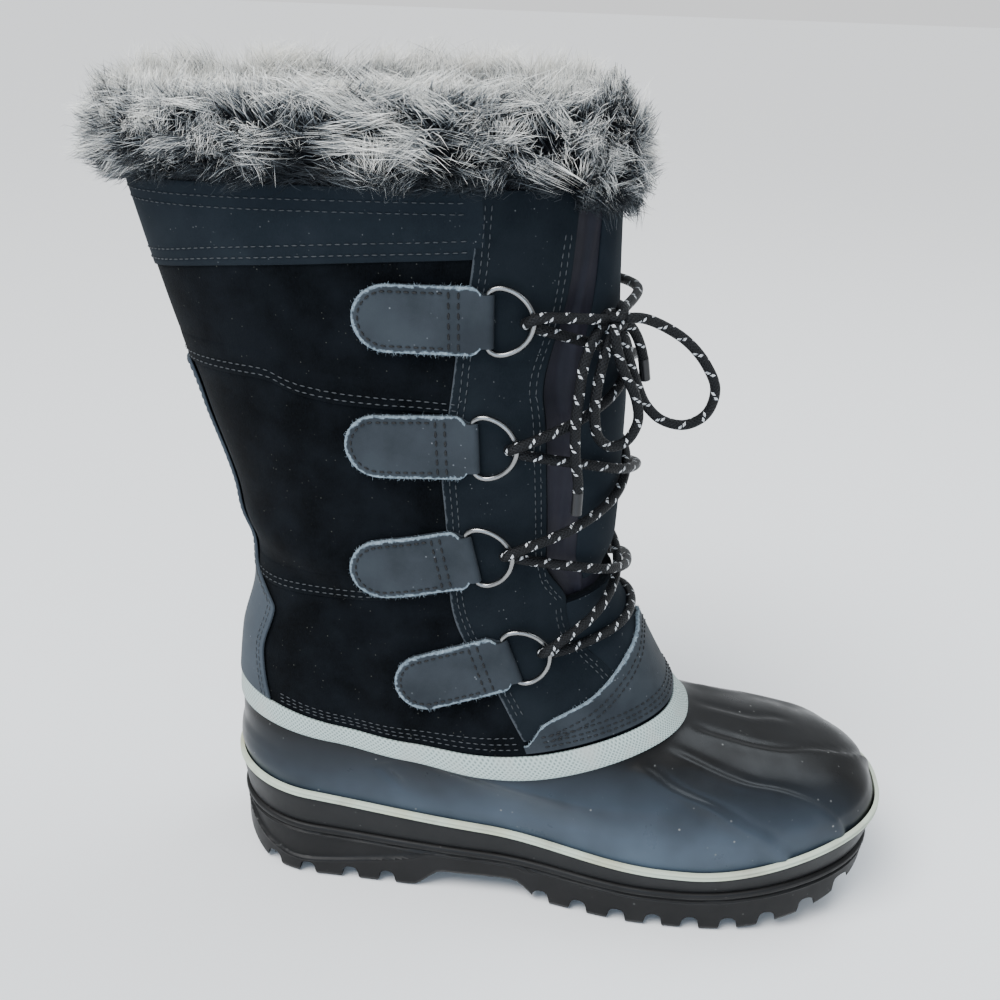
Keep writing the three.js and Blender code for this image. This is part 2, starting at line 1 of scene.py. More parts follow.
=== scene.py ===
"""The looks of a woman's winter boot for the right foot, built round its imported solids.

Sizes are in millimetres, and become metres where a mesh is made. +X points to the toe, +Y to the inner side
of the foot, +Z up. Most pieces are laid on the last, at a level (0 at the sole's top, 13 at the leather rim)
and a turn (0 at the toe, 0.25 on the outer side, 0.5 at the heel, 0.75 on the inner side).
"""

import math

import bmesh
import bpy
import numpy as np
from mathutils import Matrix, Vector


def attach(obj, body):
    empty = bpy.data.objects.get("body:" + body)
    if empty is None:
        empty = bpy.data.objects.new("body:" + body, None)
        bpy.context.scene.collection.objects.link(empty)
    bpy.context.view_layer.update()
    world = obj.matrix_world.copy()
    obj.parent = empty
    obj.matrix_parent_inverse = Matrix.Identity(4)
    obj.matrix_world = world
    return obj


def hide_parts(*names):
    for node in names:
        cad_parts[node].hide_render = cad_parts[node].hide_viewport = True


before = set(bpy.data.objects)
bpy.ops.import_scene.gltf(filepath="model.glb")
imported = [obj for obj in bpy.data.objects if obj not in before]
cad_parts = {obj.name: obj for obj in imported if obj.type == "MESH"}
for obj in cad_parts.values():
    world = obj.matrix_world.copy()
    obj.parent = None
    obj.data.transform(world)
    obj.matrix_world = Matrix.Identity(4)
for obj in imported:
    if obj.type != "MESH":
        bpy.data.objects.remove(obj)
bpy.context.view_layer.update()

MM = 0.001
ROOT = "root"
random = np.random.default_rng(7)

# ---------------------------------------------------------------- sizes
SHAFT_WALL = 3.6
SHELL_WALL = 2.6
OVERLAY = 1.4
STRIPE_HALF = 1.6
LACE = 2.0  # radius
WIRE = 1.0
FOLD_OUT = 2.65
RING_HALF = 11.8
RING_REACH = 16.5
RING_LIFT = 0.13
TAB_LENGTH = 49.5
TAB_HALF = 12.7
TAB_NECK = 9.9
BAND_FOOT = 0.25
LUG_DEPTH = 5
SHELL_RIM = 6.42
SHAFT_FOOT = 6.6
THROAT_FOOT = 8.9
RIM = 13

LAST_COLUMNS = ("back", "front", "heel_half", "waist_half", "ball_half", "heel_at", "ball_at",
                "z_back", "z_waist", "z_ball", "z_front", "toe_in", "lead")
LAST = (
    (-43.5, 235.5, 35, 37, 48, 0.14, 0.72, 24, 19, 17, 27, 7, 0.04),
    (-47, 241, 38, 40, 51, 0.14, 0.72, 50, 38, 30, 50, 7, 0.04),  # the pale stripe
    (-48.5, 238.5, 38.5, 41, 51.5, 0.14, 0.72, 57, 47, 43, 57, 7, 0.04),
    (-48, 228.5, 38, 41, 50, 0.15, 0.69, 63, 53.5, 53, 65, 6.5, 0.04),
    (-47, 210.5, 37.5, 41, 48, 0.17, 0.66, 68, 59.5, 58.5, 71, 5, 0.035),
    (-47, 182, 37, 41, 46, 0.2, 0.63, 73, 65.5, 62.5, 77, 4, 0.03),
    (-46.5, 155, 36.5, 40.5, 44.5, 0.24, 0.61, 78, 70, 66.5, 84, 3, 0.02),  # the tape's lower edge
    (-46, 148, 36, 39.5, 42.5, 0.27, 0.6, 88, 78, 76, 92, 2, 0.01),  # the tape's upper edge
    (-43.5, 130, 36, 39.5, 39, 0.3, 0.56, 110.5, 102, 106.5, 124.5, 1, 0),
    (-36.5, 116.5, 37.5, 39.5, 39, 0.37, 0.57, 140.5, 137, 142.5, 154, 0, 0),  # the ankle
    (-42.5, 117.5, 39.5, 40.5, 40, 0.42, 0.58, 175.5, 175, 179.5, 186, 0, 0),
    (-55, 117.5, 41.5, 42, 41.5, 0.44, 0.58, 215, 215.5, 218.5, 223, 0, 0),
    (-68, 112.5, 43, 43.5, 43, 0.45, 0.58, 254.5, 255.5, 257, 261, 0, 0),
    (-82.5, 110.5, 44.5, 44.5, 44.5, 0.46, 0.58, 306.5, 310, 311, 313, 0, 0),  # the leather rim
)
TOE_BLUNT = 2.5
WAIST_SHARE = 0.38
THROAT_LEVELS, THROAT_HALF = (6.6, 8.9, 9.5, 11.3, 12.4, 13), (0.1, 0.105, 0.132, 0.132, 0.096, 0.085)

UNDERSIDE_X = (-47, -39, -28, 38, 52, 84, 98, 172, 188, 202, 216, 228, 238, 244)
UNDERSIDE_Z = (14, 5, 0, 0, 9, 9, 0, 0, 1.6, 5, 9.5, 15, 23, 32)
GROOVES_X = (-27, -10, 10, 27, 97, 114, 131, 147, 163, 179.5, 196, 213, 228)
CHANNELS = ((-34, 44, 12), (90, 222, 14))  # from, to, distance from the middle

# Tabs from the top down: x and z of the fold, and the slope.
TABS = {1: (66.5, 265, 0.02), 2: (62.5, 216, 0.06), 3: (62.5, 169, 0.23), 4: (79, 123, 0.36)}
SIDES = {"outer": -1, "inner": 1}

# Soft folds of the shaft: middle x and z, slope, half length, half width, depth. Below 0 it is a ridge.
FOLDS = (
    (-18, 150, -0.25, 34, 7, 1.3), (-16, 163, -0.2, 36, 8, -1.0), (30, 140, 0.1, 40, 8, 0.8),
    (-30, 232, 0.2, 40, 12, 0.7), (10, 205, 0.35, 45, 14, 0.8), (-5, 255, -0.1, 50, 12, 0.5),
    (90, 190, 1.45, 60, 6, 0.6), (100, 140, 0.9, 30, 7, 0.9), (108, 150, 0.9, 26, 6, -0.6),
)

# The bow's routes, from the knot outwards, and the knot's middle.
KNOT = (111.5, -28, 264.5)
LOOP_A = ((117, -27.5, 265.5), (122, -25, 265), (129, -21.5, 262), (139, -18, 255.5), (147, -16, 246.5),
          (151.5, -15, 236.5), (149, -15, 226.5), (141.5, -15, 221.5), (132.5, -16, 223), (126, -18, 229),
          (121.8, -21.5, 238), (118, -25.5, 249), (114.8, -28, 257.5))
LOOP_B = ((112, -34.5, 261.5), (113.5, -34.5, 255), (116.5, -33, 246.5), (121.5, -30.5, 236),
          (123, -30, 226.5), (119.5, -31, 219), (114, -33.5, 217), (109, -37.5, 221.5),
          (107, -39.5, 230), (107, -39.5, 239.5), (108.3, -37.5, 249), (109.8, -33, 256.5))
END_A = ((106.6, -33, 262), (104.3, -37, 258), (102, -41, 250.5), (101, -42.5, 239.5), (100.3, -42.5, 228),
         (101, -42, 214.5), (102.5, -41, 203.5), (102.5, -41, 191.5))
END_B = ((117, -22.8, 261.5), (120, -20, 257), (122.8, -17, 249), (124.5, -15, 239))


# ---------------------------------------------------------------- camera, floor and light
CAMERA_ANGLES = (6.61, 23.068, 2.01)  # azimuth, elevation and roll, in degrees
CAMERA_LENS = 42.84
CAMERA_TARGET = (0.06823, 0, 0.17702)  # metres
CAMERA_DISTANCE = 0.502  # metres


def add_camera():
    azimuth, elevation, roll = (math.radians(a) for a in CAMERA_ANGLES)
    back = Vector((math.sin(azimuth) * math.cos(elevation), -math.cos(azimuth) * math.cos(elevation),
                   math.sin(elevation)))
    right = Vector((math.cos(azimuth), math.sin(azimuth), 0))
    up = back.cross(right)
    across = math.cos(roll) * right + math.sin(roll) * up
    upward = math.cos(roll) * up - math.sin(roll) * right
    camera = bpy.data.objects.new("camera", bpy.data.cameras.new("camera"))
    camera.data.lens = CAMERA_LENS
    camera.data.sensor_width = 36
    camera.data.clip_start = 0.01
    place = Vector(CAMERA_TARGET) + CAMERA_DISTANCE * back
    turned = Matrix((across, upward, back)).transposed().to_4x4()
    camera.matrix_world = Matrix.Translation(place) @ turned
    bpy.context.scene.collection.objects.link(camera)
    bpy.context.scene.camera = camera


def add_light(name, place, aim, size, power, color):
    lamp = bpy.data.objects.new(name, bpy.data.lights.new(name, "AREA"))
    lamp.data.size = size
    lamp.data.energy = power
    lamp.data.color = color
    lamp.location = place
    lamp.rotation_euler = (Vector(aim) - Vector(place)).to_track_quat("-Z", "Y").to_euler()
    bpy.context.scene.collection.objects.link(lamp)


def show_pale_distance(tree):
    """The camera sees the distance in the floor's tone, and the light stays as it is."""
    seen = tree.nodes.new("ShaderNodeBackground")
    seen.inputs["Color"].default_value = (0.975, 0.985, 1, 1)
    seen.inputs["Strength"].default_value = 1.08
    choice = tree.nodes.new("ShaderNodeMixShader")
    tree.links.new(tree.nodes.new("ShaderNodeLightPath").outputs["Is Camera Ray"], choice.inputs[0])
    tree.links.new(tree.nodes["Background"].outputs[0], choice.inputs[1])
    tree.links.new(seen.outputs[0], choice.inputs[2])
    tree.links.new(choice.outputs[0], tree.nodes["World Output"].inputs["Surface"])


def add_studio():
    bpy.ops.mesh.primitive_plane_add(size=60, location=(0, 0, -0.0002))
    floor = bpy.context.object
    floor.name = "floor"
    paint = bpy.data.materials.new("floor_paint")
    paint.use_nodes = True
    shader = paint.node_tree.nodes["Principled BSDF"]
    shader.inputs["Base Color"].default_value = (0.93, 0.93, 0.93, 1)
    shader.inputs["Roughness"].default_value = 0.9
    floor.data.materials.append(paint)
    world = bpy.context.scene.world or bpy.data.worlds.new("studio")
    bpy.context.scene.world = world
    world.use_nodes = True
    world.node_tree.nodes["Background"].inputs["Color"].default_value = (0.9, 0.95, 1, 1)
    world.node_tree.nodes["Background"].inputs["Strength"].default_value = 0.72
    show_pale_distance(world.node_tree)
    sun = bpy.data.objects.new("sun", bpy.data.lights.new("sun", "SUN"))
    sun.data.energy = 2.6
    sun.data.angle = math.radians(35)
    sun.rotation_euler = Vector((-0.45, -0.6, 1.2)).to_track_quat("Z", "Y").to_euler()
    bpy.context.scene.collection.objects.link(sun)
    add_light("window", (-0.55, -0.75, 1.55), (0.06, 0, 0.12), 0.9, 14, (0.95, 0.98, 1))
    add_light("sky", (0.75, 0.45, 1.4), (0.1, 0, 0.1), 0.8, 10, (0.85, 0.93, 1))
    add_light("low_sky", (0.05, -1.25, 0.3), (0.1, 0, 0.06), 1.0, 8, (0.5, 0.72, 1))


add_camera()
add_studio()


# ---------------------------------------------------------------- curves and the last
def curve(at, xs, ys):
    """A smooth curve through stations that never swings past them."""
    at = np.asarray(at, float)
    xs = np.stack([np.broadcast_to(x, at.shape) for x in xs]).astype(float)
    ys = np.stack([np.broadcast_to(y, at.shape) for y in ys]).astype(float)
    width = np.diff(xs, axis=0)
    rise = np.diff(ys, axis=0) / width
    both = rise[:-1] * rise[1:]
    total = rise[:-1] + rise[1:]
    inner = np.where(both > 0, 2 * both / np.where(total == 0, 1, total), 0)
    slope = np.concatenate([rise[:1], inner, rise[-1:]])
    x = np.clip(at, xs[0], xs[-1])
    i = np.clip((x >= xs).sum(0) - 1, 0, len(xs) - 2)[None]

    def pick(table, step=0):
        return np.take_along_axis(table, i + step, 0)[0]

    t = (x - pick(xs)) / pick(width)
    level = pick(ys) * (1 + 2 * t) * (1 - t) ** 2 + pick(ys, 1) * t * t * (3 - 2 * t)
    return level + pick(width) * (pick(slope) * t * (1 - t) ** 2 - pick(slope, 1) * t * t * (1 - t))


def ease(t):
    return 0.5 - 0.5 * np.cos(np.pi * np.clip(t, 0, 1))


def mix(a, b, t):
    return a + (b - a) * t


FINE_LEVELS = np.linspace(0, RIM, 1301)
FINE_LAST = [curve(FINE_LEVELS, range(RIM + 1), [row[k] for row in LAST]) for k in range(len(LAST_COLUMNS))]


def last_point(level, turn):
    """Points of the last, as an array of x, y, z."""
    level, turn = np.broadcast_arrays(np.asarray(level, float), np.asarray(turn, float))
    s = {name: np.interp(level, FINE_LEVELS, FINE_LAST[k]) for k, name in enumerate(LAST_COLUMNS)}
    share = (1 + np.cos(2 * np.pi * turn)) / 2
    side = np.where(turn % 1 < 0.5, -1.0, 1.0)
    ball_at = s["ball_at"] + side * s["lead"]
    middle = (s["heel_at"] + ball_at) / 2
    heel = s["heel_half"] * np.sqrt(np.clip(1 - (1 - share / s["heel_at"]) ** 2, 0, 1))
    waist = mix(s["heel_half"], s["waist_half"], ease((share - s["heel_at"]) / (middle - s["heel_at"])))
    ball = mix(s["waist_half"], s["ball_half"], ease((share - middle) / (ball_at - middle)))
    past = np.clip((share - ball_at) / (1 - ball_at), 0, 1)
    toe = s["ball_half"] * (1 - past**TOE_BLUNT) ** (1 / TOE_BLUNT)
    half = np.select([share < s["heel_at"], share < middle, share < ball_at], [heel, waist, ball], toe)
    heights = [s["z_back"], s["z_waist"], s["z_ball"], s["z_front"]]
    height = curve(share, [0, WAIST_SHARE, s["ball_at"], 1], heights)
    return np.stack([mix(s["back"], s["front"], share), side * half + s["toe_in"] * ease(share), height], -1)


def unit(v):
    return v / np.maximum(np.linalg.norm(v, axis=-1, keepdims=True), 1e-9)


def normal_at(level, turn):
    up = last_point(np.minimum(level + 0.05, RIM), turn) - last_point(np.maximum(level - 0.05, 0), turn)
    return unit(np.cross(up, last_point(level, turn + 0.004) - last_point(level, turn - 0.004)))


def folds(points):
    """How far the shaft's soft folds sink the leather at these points."""
    sunk = np.zeros(points.shape[:-1])
    for x, z, slope, length, width, depth in FOLDS:
        along = ((points[..., 0] - x) * math.cos(slope) + (points[..., 2] - z) * math.sin(slope)) / length
        across = ((points[..., 2] - z) * math.cos(slope) - (points[..., 0] - x) * math.sin(slope)) / width
        sunk += depth * np.exp(-(across**2)) * np.exp(-(along**4))
    return sunk * ease((points[..., 2] - 88) / 25) * ease((300 - points[..., 2]) / 25)


def surface(level, turn, out=0.0):
    """Points on the last with its folds, moved out along its normal."""
    level, turn, out = np.broadcast_arrays(*(np.asarray(a, float) for a in (level, turn, out)))
    base = last_point(level, turn)
    return base + normal_at(level, turn) * (out - folds(base))[..., None]


def on_side(sign, x, z):
    """The level and turn where the last, seen from one side, shows these x and z."""
    x, z = np.broadcast_arrays(np.asarray(x, float), np.asarray(z, float))
    level, turn = np.full(x.shape, 9.0), np.full(x.shape, 0.2)
    for _ in range(12):
        here = last_point(level, turn)
        up = (last_point(level + 0.01, turn) - here) / 0.01
        along = (last_point(level, turn + 0.001) - here) / 0.001
        det = up[..., 0] * along[..., 2] - along[..., 0] * up[..., 2]
        dx, dz = x - here[..., 0], z - here[..., 2]
        level = np.clip(level + (dx * along[..., 2] - dz * along[..., 0]) / det, SHAFT_FOOT, RIM)
        turn = np.clip(turn + (up[..., 0] * dz - up[..., 2] * dx) / det, 0.02, 0.48)
    return level, turn if sign < 0 else 1 - turn


def throat_half(level):
    return curve(level, THROAT_LEVELS, THROAT_HALF)


def underside(x):
    return curve(x, UNDERSIDE_X, UNDERSIDE_Z)


def middle_line(x):
    """The middle of the foot, which swings inwards towards the toe."""
    sole = dict(zip(LAST_COLUMNS, LAST[0]))
    return sole["toe_in"] * ease((x - sole["back"]) / (sole["front"] - sole["back"]))


# ---------------------------------------------------------------- making meshes
def only(piece):
    bpy.ops.object.select_all(action="DESELECT")
    piece.select_set(True)
    bpy.context.view_layer.objects.active = piece


def apply(piece, kind, **settings):
    """Adds a modifier with these settings and applies it."""
    only(piece)
    modifier = piece.modifiers.new(kind.lower(), kind)
    for name, value in settings.items():
        setattr(modifier, name, value)
    bpy.ops.object.modifier_apply(modifier=modifier.name)


def smooth_shade(piece, angle=40):
    only(piece)
    bpy.ops.object.shade_smooth_by_angle(angle=math.radians(angle))


def finish_piece(piece, slot, *nodes, materials=()):
    """Gives a piece its materials and its body, and hides the solids that it stands for. slot is not used."""
    for material in materials:
        piece.data.materials.append(material)
    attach(piece, ROOT)
    if nodes:
        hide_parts(*nodes)
    return piece


def laid_grid(name, columns, rows, place, closed=False):
    """A grid primitive whose points go where place(u, v) puts them. u and v run from 0 to 1."""
    bpy.ops.object.select_all(action="DESELECT")
    bpy.ops.mesh.primitive_grid_add(x_subdivisions=columns, y_subdivisions=rows, size=1)
    piece = bpy.context.object
    piece.name = name
    piece.data.name = name
    co = np.zeros(len(piece.data.vertices) * 3)
    piece.data.vertices.foreach_get("co", co)
    co = co.reshape(-1, 3)
    points = place(co[:, 0] + 0.5, co[:, 1] + 0.5) * MM
    piece.data.vertices.foreach_set("co", points.ravel())
    piece.data.update()
    if closed:
        bpy.ops.object.mode_set(mode="EDIT")
        bpy.ops.mesh.select_all(action="SELECT")
        bpy.ops.mesh.remove_doubles(threshold=1e-6)
        bpy.ops.object.mode_set(mode="OBJECT")
    return piece


def face_out(piece):
    """Turns a sheet so that its faces look away from the boot's middle."""
    mesh = piece.data
    outward = 0.0
    for polygon in mesh.polygons:
        c = polygon.center
        middle = Vector((min(max(c.x, 0), 0.17) if c.z < 0.09 else min(max(c.x, -0.02), 0.06), 0, c.z))
        outward += polygon.normal.dot(c - middle) * polygon.area
    if outward < 0:
        mesh.flip_normals()
    return piece


def thicken(piece, thickness, edge=0.0, rim_material=0, inner_material=0):
    """Gives a sheet its thickness, inwards from its outer face, and rounds its edges."""
    apply(piece, "SOLIDIFY", thickness=thickness * MM, offset=-1, use_even_offset=True, use_rim=True,
          material_offset_rim=rim_material, material_offset=inner_material)
    if edge:
        apply(piece, "BEVEL", width=edge * MM, segments=2, limit_method="ANGLE",
              angle_limit=math.radians(50), use_clamp_overlap=True)
    smooth_shade(piece, 50)
    return piece


def mesh_piece(name, points, faces, uv=None):
    """A mesh from arrays: points in millimetres, faces as rows of corners, and a u, v for each point."""
    mesh = bpy.data.meshes.new(name)
    faces = np.asarray(faces)
    mesh.vertices.add(len(points))
    mesh.vertices.foreach_set("co", (np.asarray(points) * MM).ravel())
    mesh.loops.add(faces.size)
    mesh.loops.foreach_set("vertex_index", faces.ravel().astype(np.int32))
    mesh.polygons.add(len(faces))
    mesh.polygons.foreach_set("loop_start", np.arange(len(faces), dtype=np.int32) * faces.shape[1])
    mesh.update(calc_edges=True)
    if uv is not None:
        layer = mesh.uv_layers.new(name="UVMap")
        layer.data.foreach_set("uv", np.asarray(uv)[faces.ravel()].ravel())
    piece = bpy.data.objects.new(name, mesh)
    bpy.context.scene.collection.objects.link(piece)
    return piece


def route(points, step):
    """Evenly spaced points on a smooth curve through given ones."""
    p = np.array(points, float)
    t = np.concatenate([[0], np.cumsum(np.sqrt(np.linalg.norm(np.diff(p, axis=0), axis=1)))])
    slope = np.gradient(p, t, axis=0)
    dense = np.linspace(0, t[-1], 40 * len(p))
    i = np.clip(np.searchsorted(t, dense, side="right") - 1, 0, len(t) - 2)
    w = (t[i + 1] - t[i])[:, None]
    s = ((dense - t[i])[:, None]) / w
    line = (p[i] * (1 + 2 * s) * (1 - s) ** 2 + p[i + 1] * s * s * (3 - 2 * s)
            + w * (slope[i] * s * (1 - s) ** 2 - slope[i + 1] * s * s * (1 - s)))
    return evenly(line, step)


def evenly(line, step):
    """The same line with its points a step apart."""
    far = np.concatenate([[0], np.cumsum(np.linalg.norm(np.diff(line, axis=0), axis=1))])
    count = max(2, int(round(far[-1] / step)) + 1)
    at = np.linspace(0, far[-1], count)
    return np.stack([np.interp(at, far, line[:, k]) for k in range(3)], -1)


def carried_frames(line):
    """Two crosswise directions at each point, turning as little as they can."""
    tangent = unit(np.gradient(line, axis=0))
    side = np.zeros_like(line)
    start = np.cross(tangent[0], (0.0, 0.0, 1.0))
    side[0] = unit(start if np.linalg.norm(start) > 0.1 else np.cross(tangent[0], (0.0, 1.0, 0.0)))
    for k in range(1, len(line)):
        side[k] = unit(side[k - 1] - tangent[k] * side[k - 1].dot(tangent[k]))
    return side, np.cross(tangent, side)


def tube(name, line, radius, sides):
    """A closed tube along a line. u is the share round it and v the millimetres along it."""
    side, other = carried_frames(line)
    along = np.concatenate([[0], np.cumsum(np.linalg.norm(np.diff(line, axis=0), axis=1))])
    around = np.arange(sides) / sides
    a, b = np.meshgrid(around, along)
    angle = 2 * np.pi * a[..., None]
    ring = line[:, None] + radius * (np.cos(angle) * side[:, None] + np.sin(angle) * other[:, None])
    points = np.concatenate([ring.reshape(-1, 3), line[:1], line[-1:]])
    count = len(line)
    k, j = np.meshgrid(np.arange(count - 1), np.arange(sides), indexing="ij")
    n = (j + 1) % sides
    quads = np.stack([k * sides + j, k * sides + n, (k + 1) * sides + n, (k + 1) * sides + j], -1)
    quads = quads.reshape(-1, 4)
    j = np.arange(sides)
    n = (j + 1) % sides
    first, last = count * sides, count * sides + 1
    low = np.stack([n, j, np.full(sides, first), np.full(sides, first)], -1)
    high = (count - 1) * sides + np.stack([j, n], -1)
    high = np.concatenate([high, np.full((sides, 2), last)], 1)
    mesh = bpy.data.meshes.new(name)
    triangles = np.concatenate([low[:, :3], high[:, :3]])
    mesh.from_pydata((points * MM).tolist(), [], quads.tolist() + triangles.tolist())
    layer = mesh.uv_layers.new(name="UVMap")
    corner = np.zeros(len(mesh.loops), np.int32)
    mesh.loops.foreach_get("vertex_index", corner)
    u = np.concatenate([a.ravel(), [0.5, 0.5]])[corner]
    v = np.concatenate([b.ravel(), [0, along[-1]]])[corner]
    wraps = np.zeros(len(corner), bool)
    quad_u = u[: quads.size].reshape(-1, 4)
    crosses = ((quad_u.max(1) - quad_u.min(1))[:, None] > 0.5).repeat(4, 1).ravel()
    wraps[: quads.size] = crosses & (u[: quads.size] < 0.5)
    layer.data.foreach_set("uv", np.stack([u + wraps, v], -1).ravel())
    piece = bpy.data.objects.new(name, mesh)
    bpy.context.scene.collection.objects.link(piece)
    smooth_shade(piece, 60)
    return piece


# ---------------------------------------------------------------- stitches, frayed edges and fur
def stitch_shape():
    """One stitch: a small pillow of thread, 1 long, 1 wide and 1 high."""
    bpy.ops.object.select_all(action="DESELECT")
    bpy.ops.mesh.primitive_uv_sphere_add(segments=5, ring_count=3, radius=0.5, rotation=(0, math.pi / 2, 0))
    stitch = bpy.context.object
    bpy.ops.object.transform_apply(location=False, rotation=True, scale=False)
    shape = bmesh.new()
    shape.from_mesh(stitch.data)
    bmesh.ops.triangulate(shape, faces=shape.faces[:])
    points = np.array([v.co for v in shape.verts])
    faces = np.array([[v.index for v in f.verts] for f in shape.faces])
    shape.free()
    bpy.data.objects.remove(stitch)
    return points, faces


STITCH_POINTS, STITCH_FACES = stitch_shape()
ROW_POINTS = 200


def sewn(name, rows, material, slot, pitch=3.3, length=2.5, thick=0.6):
    """Rows of stitches, joined. Each row is a pair: points along it and the directions out of the leather."""
    points, faces = [], []
    for line, outward in rows:
        far = np.concatenate([[0], np.cumsum(np.linalg.norm(np.diff(line, axis=0), axis=1))])
        count = int(far[-1] / pitch)
        if count < 1:
            continue
        at = (np.arange(count) + 0.5) * far[-1] / count
        at = at + random.uniform(-0.12, 0.12, count)
        centre = np.stack([np.interp(at, far, line[:, k]) for k in range(3)], -1)
        ahead = np.stack([np.interp(at + 0.4, far, line[:, k]) for k in range(3)], -1)
        behind = np.stack([np.interp(at - 0.4, far, line[:, k]) for k in range(3)], -1)
        out = unit(np.stack([np.interp(at, far, outward[:, k]) for k in range(3)], -1))
        along = unit(ahead - behind)
        along = unit(along + np.cross(out, along) * random.normal(0, 0.05, (count, 1)))
        across = np.cross(out, along)
        local = STITCH_POINTS * (length, thick * 1.1, thick)
        made = (centre[:, None] + local[None, :, :1] * along[:, None] + local[None, :, 1:2] * across[:, None]
                + local[None, :, 2:] * out[:, None])
        start = sum(len(p) for p in points)
        firsts = start + np.arange(count) * len(local)
        faces.append((STITCH_FACES[None] + firsts[:, None, None]).reshape(-1, 3))
        points.append(made.reshape(-1, 3))
    piece = mesh_piece(name, np.concatenate(points), np.concatenate(faces))
    smooth_shade(piece, 80)
    return finish_piece(piece, slot, materials=[material])


def row_on_last(levels, turns, out):
    """A row for sewn() along stations of level and turn on the last."""
    stations = np.linspace(0, 1, len(levels))
    at = np.linspace(0, 1, ROW_POINTS)
    level, turn = curve(at, stations, levels), curve(at, stations, turns)
    return surface(level, turn, out), normal_at(level, turn)


def strands(name, roots, tips, bend, width, material, slot, shade):
    """Joined hairs: flat blades from roots to tips, bowed by bend, as wide as width at the root."""
    segments = 3
    count = len(roots)
    along = unit(tips - roots)
    across = unit(np.cross(along, unit(random.normal(size=(count, 3)))))
    t = np.linspace(0, 1, segments + 1)[:-1]
    centre = roots[:, None] + (tips - roots)[:, None] * t[None, :, None]
    centre = centre + bend[:, None] * (4 * t * (1 - t))[None, :, None]
    half = (np.asarray(width)[:, None] * (1 - 0.75 * t)[None] / 2)[..., None] * across[:, None]
    pairs = np.stack([centre - half, centre + half], 2).reshape(count, -1, 3)
    points = np.concatenate([pairs, tips[:, None]], 1)
    per = 2 * segments + 1
    base = []
    for k in range(segments - 1):
        a = 2 * k
        base += [[a, a + 1, a + 3], [a, a + 3, a + 2]]
    base.append([2 * segments - 2, 2 * segments - 1, 2 * segments])
    faces = (np.array(base)[None] + (np.arange(count) * per)[:, None, None]).reshape(-1, 3)
    v = np.concatenate([np.repeat(t, 2), [1.0]])
    uv = np.stack([np.repeat(shade[:, None], per, 1), np.repeat(v[None], count, 0)], -1).reshape(-1, 2)
    piece = mesh_piece(name, points.reshape(-1, 3), faces, uv)
    return finish_piece(piece, slot, materials=[material])


# ---------------------------------------------------------------- materials
def group(name, inputs, outputs, build):
    """A shader node group with these inputs and outputs, filled by build(nodes, links, entry, leave)."""
    tree = bpy.data.node_groups.new(name, "ShaderNodeTree")
    for title, kind, value in inputs:
        socket = tree.interface.new_socket(name=title, in_out="INPUT", socket_type=kind)
        if value is not None:
            socket.default_value = value
    for title, kind in outputs:
        tree.interface.new_socket(name=title, in_out="OUTPUT", socket_type=kind)
    entry = tree.nodes.new("NodeGroupInput")
    leave = tree.nodes.new("NodeGroupOutput")
    build(tree.nodes, tree.links, entry, leave)
    return tree


def noise(nodes, links, vector, scale, detail=2.0, rough=0.5):
    node = nodes.new("ShaderNodeTexNoise")
    node.inputs["Scale"].default_value = scale
    node.inputs["Detail"].default_value = detail
    node.inputs["Roughness"].default_value = rough
    links.new(vector, node.inputs["Vector"])
    return node.outputs["Fac"]


def number(nodes, links, operation, a, b=0.0, clamp=False):
    node = nodes.new("ShaderNodeMath")
    node.operation = operation
    node.use_clamp = clamp
    for socket, value in zip(node.inputs, (a, b)):
        if isinstance(value, (int, float)):
            socket.default_value = value
        else:
            links.new(value, socket)
    return node.outputs[0]


def spread(nodes, links, value, low, high, to_low=0.0, to_high=1.0):
    """Spreads the stretch low..high of a value over to_low..to_high."""
    node = nodes.new("ShaderNodeMapRange")
    links.new(value, node.inputs["Value"])
    for title, given in (("From Min", low), ("From Max", high), ("To Min", to_low), ("To Max", to_high)):
        node.inputs[title].default_value = given
    return node.outputs[0]


def blended(nodes, links, share, a, b):
    """A colour between a and b."""
    node = nodes.new("ShaderNodeMix")
    node.data_type = "RGBA"
    links.new(share, node.inputs["Factor"])
    for title, value in (("A", a), ("B", b)):
        socket = [s for s in node.inputs if s.name == title and s.type == "RGBA"][0]
        if isinstance(value, (tuple, list)):
            socket.default_value = (*value[:3], 1)
        else:
            links.new(value, socket)
    return [s for s in node.outputs if s.type == "RGBA"][0]


def build_dust(nodes, links, entry, leave):
    """Lint and dust: small specks and faint cloudy patches."""
    where = entry.outputs["Place"]
    cells = nodes.new("ShaderNodeTexVoronoi")
    links.new(where, cells.inputs["Vector"])
    links.new(entry.outputs["Speck Scale"], cells.inputs["Scale"])
    cells.inputs["Randomness"].default_value = 1
    near = spread(nodes, links, cells.outputs["Distance"], 0.13, 0.05)
    rare = spread(nodes, links, noise(nodes, links, where, 170, 2), 0.52, 0.62)
    specks = number(nodes, links, "MULTIPLY", near, rare)
    links.new(number(nodes, links, "MULTIPLY", specks, entry.outputs["Specks"]), leave.inputs["Specks"])
    cloud = spread(nodes, links, noise(nodes, links, where, 28, 4, 0.6), 0.42, 0.72)
    links.new(number(nodes, links, "MULTIPLY", cloud, entry.outputs["Cloud"]), leave.inputs["Cloud"])


